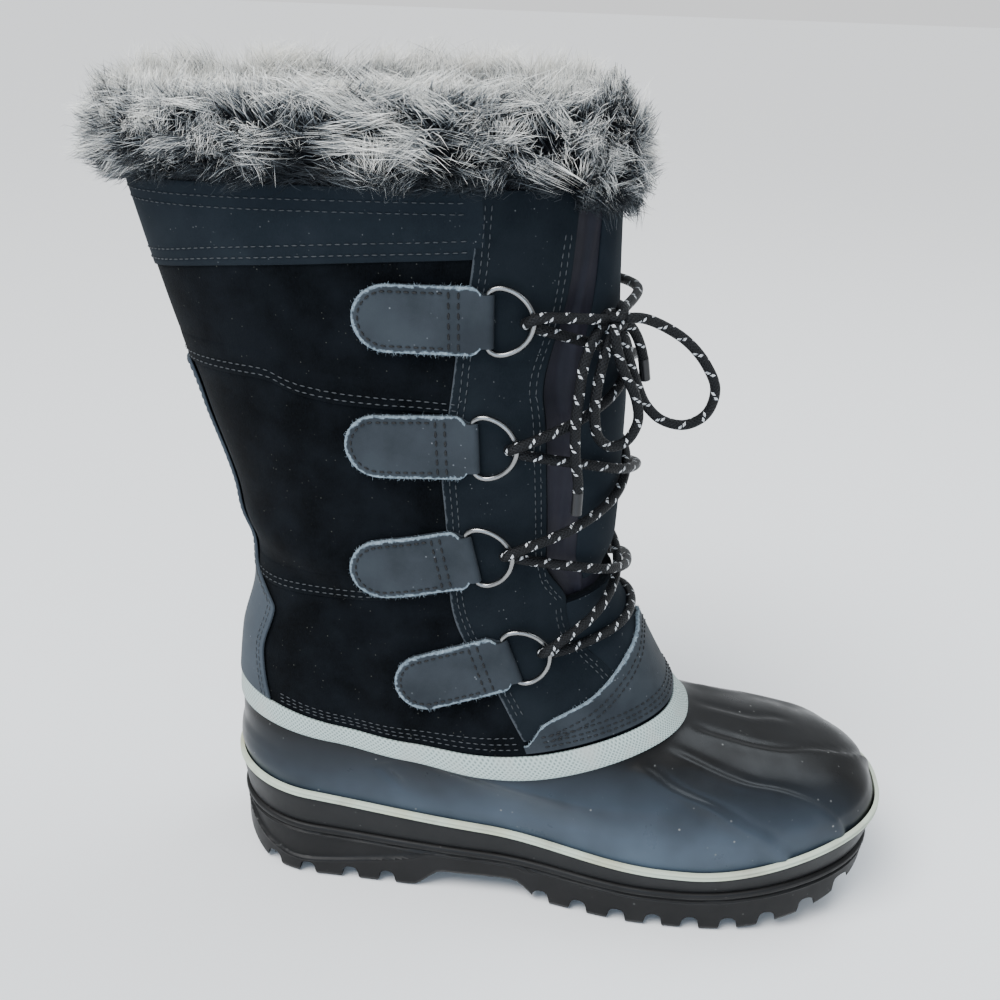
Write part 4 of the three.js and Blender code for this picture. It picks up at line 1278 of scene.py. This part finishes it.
# Edges of the facing, the counter, the instep overlay and the collar panel, and the two seams across the
# side, as levels and turns.
REAR_LEVELS = (7.1, 7.16, 8.06, 9.27, 10.44, 11.80, 12.53, 13.0)
REAR_TURNS = (0.182, 0.183, 0.197, 0.221, 0.220, 0.194, 0.175, 0.168)
FRONT_LEVELS = (7.3, 7.76, 8.14, 8.53, 8.93)
FRONT_TURNS = (0.084, 0.087, 0.101, 0.110, 0.107)
COUNTER_LEVELS = (7.12, 8.1, 8.7, 8.9, 9.15, 9.6, 10.5, 11.5)
COUNTER_HALF = (0.105, 0.094, 0.1, 0.08, 0.045, 0.03, 0.03, 0.045)
VAMP_TURNS = (0, 0.06, 0.12, 0.165, 0.183)
VAMP_TOPS = (8.12, 7.9, 7.62, 7.48, 7.25)
VAMP_FOOT = 7.13
COLLAR_TURNS = (0.168, 0.222, 0.321, 0.469, 0.5)
COLLAR_FOOT = (12.55, 12.53, 12.47, 12.34, 12.33)
SEAM_ONE = ((11.23, 11.40, 11.52, 11.48), (0.20, 0.311, 0.345, 0.5))
SEAM_TWO = ((9.28, 9.17, 9.02, 8.98), (0.215, 0.309, 0.407, 0.46))


def rear_turn(level):
    return curve(level, REAR_LEVELS, REAR_TURNS)


def front_turn(level):
    """The facing's front edge below the throat."""
    return curve(level, FRONT_LEVELS, FRONT_TURNS)


def mirrored(turn, side):
    return turn if side == "outer" else 1 - turn


def from_rear(u, v):
    return u * 36


def add_panels():
    for side in SIDES:
        def facing(u, v, side=side):
            level = mix(7.3, 12.98, v)
            front = np.where(level < THROAT_FOOT, front_turn(level), throat_half(level) + 0.0015)
            turn = mix(rear_turn(level), front, u)
            return surface(level, mirrored(turn, side), 0.8)
        panel(f"facing_{side}", facing, 24, 90, 1.0, [WORN_NUBUCK, DARK_EDGE], "suede", distance=from_rear)

    def collar(u, v):
        turn = mix(0.165, 0.835, u)
        half = np.where(turn > 0.5, 1 - turn, turn)
        level = mix(curve(half, COLLAR_TURNS, COLLAR_FOOT), 12.99, v)
        return surface(level, turn, 0.75 + 0.1 * ease(v * 3))
    panel("collar_band", collar, 160, 16, 1.0, [NUBUCK, DARK_EDGE], "suede")

    def instep(u, v):
        level = mix(7.2, 8.86, v)
        front = curve(level, FRONT_LEVELS, (*FRONT_TURNS[:-1], 0.108)) + 0.004
        return surface(level, mix(front, -front, u), 0.35)
    panel("instep_panel", instep, 60, 40, 0.8, [NUBUCK, DARK_EDGE], "suede")

    def counter(u, v):
        level = curve(v, np.linspace(0, 1, len(COUNTER_LEVELS)), COUNTER_LEVELS)
        half = curve(level, COUNTER_LEVELS, COUNTER_HALF)
        return surface(level, 0.5 + (2 * u - 1) * half, 2.15)
    panel("counter", counter, 40, 72, 1.3, [LEATHER, DARK_EDGE], "leather", "heel_counter")

    def vamp(u, v):
        turn = 0.186 * np.sin((2 * u - 1) * np.pi / 2)
        top = curve(np.abs(turn), VAMP_TURNS, VAMP_TOPS)
        return surface(mix(VAMP_FOOT, top, v), turn, 2.15)

    def from_top(u, v):
        return (1 - v) * 24
    panel("instep_overlay", vamp, 150, 24, 1.3, [EDGED_LEATHER, RAW_EDGE], "leather", "vamp_overlay",
          distance=from_top)

    for which, (levels, turns) in enumerate((SEAM_ONE, SEAM_TWO), 1):
        for side in SIDES:
            def lap(u, v, levels=levels, turns=turns, side=side):
                stations = np.linspace(0, 1, len(levels))
                level = curve(u, stations, levels) + 0.3 * v
                turn = curve(u, stations, turns)
                return surface(level, mirrored(turn, side), 0.7 * (1 - v) ** 0.7 + 0.02)
            panel(f"lap_{which}_{side}", lap, 90, 8, 0.8, [SUEDE, DARK_EDGE], "suede", edge=0.2)


def edged_leather():
    """Smooth leather whose u is the distance from its raw edge, which is pale and frayed."""
    f = Finish("edged_leather", 0.62, specular=0.14)
    grain, base = grained(f, (0.0170, 0.0212, 0.0258), (0.0280, 0.0338, 0.0400), (0.038, 0.046, 0.054))
    distance_in = f.split(f.nodes.new("ShaderNodeTexCoord").outputs["UV"])[0]
    ragged = f.number("ADD", distance_in, f.spread(f.noise(420, 5, 0.7), 0.3, 0.7, -0.9, 0.9))
    pale = f.spread(ragged, 1.1, 0.6)
    frayed = f.blend(f.spread(f.noise(900, 3, 0.7), 0.3, 0.7), (0.075, 0.098, 0.118), (0.27, 0.335, 0.38))
    f.color(f.blend(pale, base, frayed))
    f.rough(f.spread(pale, 0, 1, 0.62, 0.95))
    f.bump(grain["Height"], 0.1, 0.35)
    return f.material


EDGED_LEATHER = edged_leather()
add_shaft()
add_panels()

# ---------------------------------------------------------------- tongue
def tongue_out(level, turn):
    inside = ease((throat_half(level) - 0.014 - np.abs(turn)) / 0.05)
    return mix(-SHAFT_WALL - 0.9, -0.5, inside * ease((level - THROAT_FOOT) / 0.6))


def add_tongue():
    def place(u, v):
        level = mix(8.5, RIM, v)
        edge = throat_half(level) + 0.012
        turn = mix(edge, -edge, u)
        beside = np.abs(turn) - throat_half(level)
        puff = 0.7 * np.exp(-(((beside + 0.028 + 0.004 * np.sin(level * 5)) / 0.004) ** 2))
        puff -= 0.6 * np.exp(-(((beside + 0.018 + 0.004 * np.sin(level * 3 + 1)) / 0.005) ** 2))
        return surface(level, turn, tongue_out(level, turn) + puff)

    piece = laid_grid("tongue_nylon", 120, 64, place)
    face_out(piece)
    thicken(piece, 2.2, 0.5, inner_material=1)
    finish_piece(piece, "nylon", "tongue", materials=[NYLON, FLEECE])


def add_tongue_panel():
    """The tongue's leather middle; the nylon beside it is its folded gusset."""
    def place(u, v):
        level = mix(THROAT_FOOT + 0.12, 12.99, v)
        edge = throat_half(level) - 0.038
        turn = mix(edge, -edge, u)
        return surface(level, turn, tongue_out(level, turn) + 0.75)

    panel("tongue_panel", place, 36, 64, 1.0, [NUBUCK, DARK_EDGE], "suede")


add_tongue()
add_tongue_panel()

# ---------------------------------------------------------------- tabs and rings
def tab_point(tab, sign, forward, across, out):
    x0, z0, slope = tab
    x = x0 + forward * math.cos(slope) - across * math.sin(slope)
    z = z0 + forward * math.sin(slope) + across * math.cos(slope)
    level, turn = on_side(sign, x, z)
    return surface(level, turn, out)


def ring_frame(tab, sign):
    """The ring's place: the middle of its bar, and its directions forward, across and out."""
    def at(forward, across):
        return tab_point(tab, sign, np.array([forward]), np.array([across]), FOLD_OUT)[0]
    across = unit(at(0, 6) - at(0, -6))
    ahead = unit(at(5, 0) - at(-3, 0))
    out = unit(np.cross(ahead, across)) * -sign
    return at(0, 0), unit(ahead + RING_LIFT * out), across, out


def in_frame(axes, forward, across, out=0.0):
    origin, f, a, o = axes
    return origin + forward * f + across * a + out * o


def tab_half(back):
    """A tab's half width: narrow round the ring's bar, then full."""
    return mix(TAB_NECK, TAB_HALF, ease((back - 2.2) / 3.2))


# A tab's outer face where it folds round the bar, from above to below: distance behind the bar, height.
STRAP = ((7.5, 3.25), (5.0, 3.4), (3.0, 4.0), (1.5, 4.6), (0.2, 4.72), (-1.1, 4.35),
         (-1.9, 3.45), (-2.05, 2.5), (-1.6, 1.5), (-0.6, 0.9), (1.0, 0.85), (4.0, 0.86))
TAB_COLUMNS = 18
TAB_TOP_ROWS, TAB_FOLD_ROWS, TAB_UNDER_ROWS = 28, 16, 16
TAB_SEEN_ROWS = 32  # the rows of the padded upper face, which has the frayed edge


def tab_end(u):
    """The place across the tab, from -1 to 1, and how far behind the bar its round end lies there."""
    slant = (2 * u - 1) * np.pi / 2
    return np.sin(slant), TAB_LENGTH - TAB_HALF * (1 - np.cos(slant))


def tab_outline(start, half):
    """Round a tab at this half width, from start and back to it: distance behind the bar, and across."""
    angle = np.linspace(-np.pi / 2, np.pi / 2, 60)
    straight = np.linspace(start, TAB_LENGTH - TAB_HALF, 40)
    back = np.concatenate([straight, TAB_LENGTH - TAB_HALF + half * np.cos(angle), straight[::-1]])
    across = np.concatenate([np.full(40, -half), half * np.sin(angle), np.full(40, half)])
    return back, across


def add_tab(tab, sign, name):
    columns = TAB_COLUMNS
    fold_end = TAB_TOP_ROWS + TAB_FOLD_ROWS
    rows = fold_end + TAB_UNDER_ROWS
    (top_back, top_up), (under_back, under_up) = STRAP[0], STRAP[-1]

    def place(u, v):
        a, end = tab_end(u)
        step = v * rows
        on_top = mix(end, top_back, np.clip(step / TAB_TOP_ROWS, 0, 1))
        fold_at = np.clip((step - TAB_TOP_ROWS) / TAB_FOLD_ROWS, 0, 1) * (len(STRAP) - 1)
        stations = np.arange(len(STRAP))
        back = np.interp(fold_at, stations, [row[0] for row in STRAP])
        up = np.interp(fold_at, stations, [row[1] for row in STRAP])
        below = mix(under_back, end, np.clip((step - fold_end) / TAB_UNDER_ROWS, 0, 1))
        back = np.where(step < TAB_TOP_ROWS, on_top, np.where(step > fold_end, below, back))
        up = np.where(step < TAB_TOP_ROWS, top_up, np.where(step > fold_end, under_up, up))
        half = tab_half(back)
        swell = 0.25 * (1 - a**4) * (step < TAB_SEEN_ROWS)
        return tab_point(tab, sign, -back, a * half, up + swell)

    def from_edge(u, v):
        a, end = tab_end(u)
        step = v * rows
        back = mix(end, top_back, np.clip(step / TAB_TOP_ROWS, 0, 1))
        across = a * TAB_HALF
        round_off = TAB_HALF - np.hypot(np.maximum(back - (TAB_LENGTH - TAB_HALF), 0), across)
        straight = TAB_HALF * (1 - np.abs(a))
        inside = np.where(back > TAB_LENGTH - TAB_HALF, round_off, straight)
        return np.where(step > TAB_SEEN_ROWS, 6.0, inside)

    piece = laid_grid(name.replace("tab", "strap"), columns, rows, place)
    set_distance(piece, from_edge)
    middle = piece.data.polygons[14 * columns + columns // 2]
    level, turn = on_side(sign, np.array([middle.center.x / MM]), np.array([middle.center.z / MM]))
    if middle.normal.dot(Vector(normal_at(level, turn)[0])) < 0:
        piece.data.flip_normals()
    thicken(piece, 1.12, 0.3, rim_material=1)
    finish_piece(piece, "leather", name, materials=[EDGED_LEATHER, RAW_EDGE])


RING_OUTLINE = ((0, 0), (0, 0.5), (0, 0.88), (0.13, 1.02), (0.32, 1.04), (0.62, 0.88), (0.88, 0.52), (1, 0))


def add_ring(axes, name):
    back = [(a, -b) for a, b in RING_OUTLINE[-2::-1]]
    points = [in_frame(axes, a * RING_REACH, b * RING_HALF) for a, b in (*RING_OUTLINE, *back)]
    line = route(points, 0.9)
    line[-1] = line[0]
    piece = tube(name.replace("ring", "d_ring"), line, WIRE, 14)
    finish_piece(piece, "steel", name, materials=[STEEL])


def tab_rows(tab, sign):
    """The stitches on a tab: one row round its outline and two across it, behind the fold."""
    inset = 2.5
    half = TAB_HALF - inset
    rows = [tab_outline(15.5, half)]
    for behind in (10.5, 14.0):
        rows.append((np.full(30, behind), np.linspace(-half - 1.2, half + 1.2, 30)))
    made = []
    for back, across in rows:
        line = tab_point(tab, sign, -back, across, 3.58)
        under = tab_point(tab, sign, -back, across, 0.0)
        made.append((line, unit(line - under)))
    return made


def add_tabs():
    frames, outline, cross = {}, [], []
    for side, sign in SIDES.items():
        for tier, tab in TABS.items():
            frames[side, tier] = ring_frame(tab, sign)
            add_tab(tab, sign, f"tab_{side}_{tier}")
            add_ring(frames[side, tier], f"ring_{side}_{tier}")
            rows = tab_rows(tab, sign)
            outline.append(rows[0])
            cross += rows[1:]
    sewn("tab_outline_stitches", outline, BLACK_THREAD, "leather", pitch=3.0, length=2.2, thick=0.85)
    sewn("tab_cross_stitches", cross, BLACK_THREAD, "leather", pitch=3.4, length=2.7, thick=1.0)
    return frames


FRAMES = add_tabs()


def fray(edge, away, outward, per_mm, long):
    """Loose fibres along a raw edge. away points out of the leather's edge and outward out of its face."""
    far = np.concatenate([[0], np.cumsum(np.linalg.norm(np.diff(edge, axis=0), axis=1))])
    count = int(far[-1] * per_mm)
    at = random.uniform(0, far[-1], count)

    def sample(rows):
        return np.stack([np.interp(at, far, rows[:, k]) for k in range(3)], -1)

    root = sample(edge) + sample(outward) * random.uniform(-0.5, 0.15, (count, 1))
    reach = long * random.uniform(0.25, 1, (count, 1)) ** 2
    aim = sample(away) + random.normal(0, 0.75, (count, 3)) + 0.3 * sample(outward)
    return root, root + unit(aim) * reach


def add_fray():
    roots, tips = [], []
    for sign in SIDES.values():
        for tab in TABS.values():
            back, across = tab_outline(6, TAB_HALF)
            line = tab_point(tab, sign, -back, across, 3.1)
            inside = tab_point(tab, sign, -back, across * 0.9, 3.1)
            under = tab_point(tab, sign, -back, across, 0.0)
            root, tip = fray(line, unit(line - inside), unit(line - under), 4, 1.8)
            roots.append(root)
            tips.append(tip)
    turns = np.linspace(-0.183, 0.183, 120)
    top = curve(np.abs(turns), VAMP_TURNS, VAMP_TOPS)
    line, below, under = surface(top, turns, 2.0), surface(top - 0.05, turns, 2.0), surface(top, turns, 0)
    root, tip = fray(line, unit(line - below), unit(line - under), 5, 2.0)
    roots, tips = np.concatenate([*roots, root]), np.concatenate([*tips, tip])
    count = len(roots)
    bend = random.normal(0, 0.15, (count, 3))
    width = random.uniform(0.08, 0.2, count)
    strands("loose_fibres", roots, tips, bend, width, FIBRE, "leather", random.uniform(0, 1, count))


FIBRE = raw_edge("leather_fibre", (0.16, 0.2, 0.235), (0.42, 0.5, 0.54))
add_fray()


# ---------------------------------------------------------------- the crossed lace
def hook(side, tier):
    """Five places where the lace turns round a ring's bow, from under it through it to over it."""
    f = FRAMES[side, tier]
    reach = RING_REACH
    return [in_frame(f, reach + 1.6, -2.6, -2.0), in_frame(f, reach - 1.2, -2.0, -3.0),
            in_frame(f, reach - 3.2, -0.4, -0.3), in_frame(f, reach - 1.4, 1.4, 2.8),
            in_frame(f, reach + 1.6, 2.6, 2.9)]


def level_turn(point):
    sign = -1 if point[1] < 0 else 1
    level, turn = on_side(sign, np.array([point[0]]), np.array([point[2]]))
    return level[0], (turn[0] if sign < 0 else turn[0] - 1)


def across_throat(start, end, outs):
    """Places between two hooks, over the tongue, at these heights above the last."""
    a, b = level_turn(start), level_turn(end)
    share = np.linspace(0, 1, len(outs) + 2)[1:-1]
    return list(surface(mix(a[0], b[0], share), mix(a[1], b[1], share), np.array(outs)))


# Heights above the last where the lace crosses: below the other strand, above it, and on the lowest bar.
LACE_BELOW = (5.6, 3.6, 2.4, 2.1, 2.1)
LACE_ABOVE = (7.6, 7.2, 6.5, 5.2, 3.2)
LACE_BAR = (2.3, 2.1, 2.1, 2.1, 2.3)
DOWN_ROUTE = (("outer", 1), ("inner", 2), ("outer", 3), ("inner", 4))
UP_ROUTE = (("outer", 4), ("inner", 3), ("outer", 2), ("inner", 1))


def add_lace():
    knot = np.array(KNOT)
    first = hook("outer", 1)
    path = [knot + (0, 0.5, 0), *across_throat(knot + (-7, -0.5, 0.5), first[-1], (8.4, 7.6)), *first[::-1]]
    for upper, lower in zip(DOWN_ROUTE, DOWN_ROUTE[1:]):
        start, end = hook(*upper)[0], hook(*lower)[-1]
        outs = LACE_BELOW if lower[0] == "outer" else LACE_ABOVE
        path += across_throat(end, start, outs)[::-1] + hook(*lower)[::-1]
    path += across_throat(hook("inner", 4)[0], hook("outer", 4)[0], LACE_BAR) + hook("outer", 4)
    for lower, upper in zip(UP_ROUTE, UP_ROUTE[1:]):
        start, end = hook(*lower)[-1], hook(*upper)[0]
        outs = LACE_BELOW if lower[0] == "outer" else LACE_ABOVE
        path += across_throat(start, end, outs) + hook(*upper)
    last = hook("inner", 1)[-1]
    path += [*across_throat(last, knot + (0.5, 6.4, 2), (7.8, 8.2)), knot + (0, -0.5, 0.5)]
    piece = lace_tube("lacing", route(path, 0.85))
    finish_piece(piece, "lace", "lace_crossings", materials=[CORD])


add_lace()


# ---------------------------------------------------------------- stitching
def add_stitching():
    grey, black = [], []
    for side in SIDES:
        levels = np.array([7.6, 8.3, 9.3, 10.4, 11.7, 12.5, 12.9])
        for inset in (0.006, 0.0105):
            grey.append(row_on_last(levels, mirrored(rear_turn(levels) - inset, side), 0.95))
        front = np.array([8.95, 9.3, 9.8, 10.6, 11.4, 12.2, 12.7])
        for inset in (0.007, 0.0125):
            grey.append(row_on_last(front, mirrored(throat_half(front) + inset, side), 0.95))
        low = np.array([7.75, 8.14, 8.53, 8.85])
        for inset in (0.007, 0.0125):
            grey.append(row_on_last(low, mirrored(front_turn(low) + inset, side), 0.95))
        for seam_levels, seam_turns in (SEAM_ONE, SEAM_TWO):
            for up in (0.045, 0.115):
                seam = mirrored(np.array(seam_turns), side)
                grey.append(row_on_last(np.array(seam_levels) + up, seam, 0.78))
        facing_edge = rear_turn(np.array([12.6]))[0]
        turns = np.array([facing_edge + 0.003, 0.26, 0.34, 0.42, 0.499])
        foot = curve(turns, COLLAR_TURNS, COLLAR_FOOT)
        for up in (0.05, 0.12):
            grey.append(row_on_last(foot + up, mirrored(turns, side), 1.0))
        for down in (0.1, 0.17):
            grey.append(row_on_last(np.full(5, 13 - down), mirrored(turns, side), 1.0))
        turns = np.array([0.19, 0.24, 0.30, 0.36, 0.385])
        for up in (0.08, 0.17, 0.26):
            grey.append(row_on_last(np.full(5, 7.1 + up), mirrored(turns, side), 0.18))
        half = np.array(COUNTER_HALF)
        for inset in (0.006, 0.011):
            grey.append(row_on_last(COUNTER_LEVELS, mirrored(0.5 - half + inset, side), 2.3))
    turns = np.linspace(-0.165, 0.165, 9)
    top = curve(np.abs(turns), VAMP_TURNS, VAMP_TOPS)
    for down in (0.13, 0.20):
        black.append(row_on_last(top - down, turns, 2.3))
    for up in (0.08, 0.15, 0.22):
        black.append(row_on_last(np.full(9, VAMP_FOOT + up), turns * 1.04, 2.3))
    sewn("grey_stitches", grey, GREY_THREAD, "suede", pitch=3.2, length=2.4, thick=0.5)
    sewn("black_stitches", black, BLACK_THREAD, "leather", pitch=3.0, length=2.2, thick=0.6)


add_stitching()


# ---------------------------------------------------------------- fur
# Sections through the collar: where hairs grow and where they end, out from the rim and up from it.
FUR_ROOTS = ((0.8, 1), (4.5, 4), (6, 13), (3, 21), (-2, 25), (-7, 22), (-9, 14), (-8, 0), (-6.5, -20))
FUR_TIPS = ((8, -4), (17, 3), (19, 14), (13, 29), (0, 37), (-11, 33), (-16, 22), (-15, 2), (-12, -22))
TONGUE_ROOTS = ((0.9, -8), (3, -3), (4, 6), (3, 17), (-3, 24), (-9, 20), (-11, 8), (-9.5, -12))
TONGUE_TIPS = ((6, -16), (11, -6), (13, 8), (10, 26), (-5, 35), (-15, 28), (-18, 10), (-14, -14))
FAR_RISE = 9  # how much longer the hair stands on top of the inner side
FUR_START = 0.094  # turn where the tongue's fur meets the collar's


def over_rim(section, along, turn):
    """Points of a section that is carried round the rim. along runs from 0 to 1 over the section."""
    section = np.array(section, float)
    far = np.linspace(0, 1, len(section))
    out, up = np.interp(along, far, section[:, 0]), np.interp(along, far, section[:, 1])
    below = np.minimum(0, up)
    base = surface(RIM + below / 54, turn)
    flat = normal_at(np.full(np.shape(turn), RIM - 0.05), turn)
    flat[..., 2] = 0
    return base + (up - below)[..., None] * np.array([0, 0, 1.0]) + out[..., None] * unit(flat)


def fur_core(name, section, first, last):
    section = (*section, section[0])

    def place(u, v):
        return over_rim(section, v, mix(first, last, u))

    piece = laid_grid(name, 90, len(section) * 3, place)
    only(piece)
    bpy.ops.object.mode_set(mode="EDIT")
    bpy.ops.mesh.select_all(action="SELECT")
    bpy.ops.mesh.remove_doubles(threshold=1e-6)
    bpy.ops.mesh.select_mode(type="EDGE")
    bpy.ops.mesh.select_all(action="DESELECT")
    bpy.ops.mesh.select_non_manifold()
    bpy.ops.mesh.edge_face_add()
    bpy.ops.object.mode_set(mode="OBJECT")
    outward_faces(piece)
    smooth_shade(piece, 60)
    return piece


def grow(name, roots, tips, first, last, span, tufts, per_tuft):
    """Hairs over a stretch of the rim (first to last) and of the section (span), in pointed locks."""
    turn = random.uniform(first, last, tufts)
    along = random.uniform(*span, tufts)
    lean_share = 0.35 + 0.65 * ease(along / 0.2) if span[0] == 0 else 1.0
    inner_side = ease((turn % 1 - 0.45) / 0.12) * ease((0.97 - turn % 1) / 0.1)
    lean = np.clip(random.normal(0, 0.022, tufts), -0.04, 0.04) * lean_share + 0.008 * np.sin(turn * 57 + 2)
    aim = np.clip(along + random.normal(0.01, 0.065, tufts), 0.02, 1)
    reach = random.uniform(0.78, 1.35, tufts)
    reach *= 1 - 0.3 * (along < 0.1) * (span[0] == 0)
    base = over_rim(roots, along, turn)
    lock_tip = over_rim(tips, aim, np.clip(turn + lean, first, last))
    lock_tip = base + (lock_tip - base) * reach[:, None]
    lock_tip[:, 2] += FAR_RISE * inner_side * np.exp(-(((along - 0.5) / 0.22) ** 2))
    pale = random.uniform(0, 1, tufts)
    owner = np.repeat(np.arange(tufts), per_tuft)
    count = len(owner)
    root_turn = np.clip(turn[owner] + random.normal(0, 0.0095, count), first, last)
    root_along = np.clip(along[owner] + random.normal(0, 0.036, count), span[0] - 0.02, span[1] + 0.02)
    root = over_rim(roots, np.clip(root_along, 0, 1), root_turn)
    share = random.uniform(0.55, 1.05, count)[:, None]
    loose = random.normal(0, 1.15, (count, 3))
    tip = mix(root, lock_tip[owner], share) + loose
    tip += 0.42 * (root - base[owner]) * share
    bend = random.normal(0, 1.3, (count, 3)) + random.normal(0, 1.6, (tufts, 3))[owner]
    bend[:, 2] += 1.0
    width = random.uniform(0.2, 0.46, count)
    # Painted shade and light: hairs low on the collar's outside are darkened as painted shade, and hairs on
    # its top are paled as painted light from above.
    low = 1 - ease((root_along - 0.06) / 0.2) if span[0] == 0 else 0
    top = np.exp(-(((root_along - 0.55) / 0.2) ** 2)) if span[0] > 0 else 0
    shade = (0.13 + 0.54 * pale[owner] + 0.33 * random.uniform(0, 1, count)) * (1 - 0.95 * low)
    shade = np.clip(mix(shade, 0.97, 0.78 * top), 0, 1)
    return strands(name, root, tip, bend, width, HAIR, "fur", shade)


def add_fur():
    core = fur_core("collar_core", FUR_ROOTS, FUR_START, 1 - FUR_START)
    finish_piece(core, "fur", "fur_collar", materials=[UNDER_FUR])
    core = fur_core("tongue_core", TONGUE_ROOTS, -FUR_START + 0.003, FUR_START - 0.003)
    finish_piece(core, "fur", "tongue_fur", materials=[UNDER_FUR])
    first, last = FUR_START, 1 - FUR_START
    grow("collar_fur_outside", FUR_ROOTS, FUR_TIPS, first, last, (0.0, 0.42), 560, 57)
    grow("collar_fur_top", FUR_ROOTS, FUR_TIPS, first, last, (0.36, 0.72), 440, 54)
    grow("collar_fur_inside", FUR_ROOTS, FUR_TIPS, first, last, (0.68, 1.0), 200, 50)
    grow("tongue_fur_hair", TONGUE_ROOTS, TONGUE_TIPS, -FUR_START, FUR_START, (0.0, 1.0), 220, 76)


add_fur()
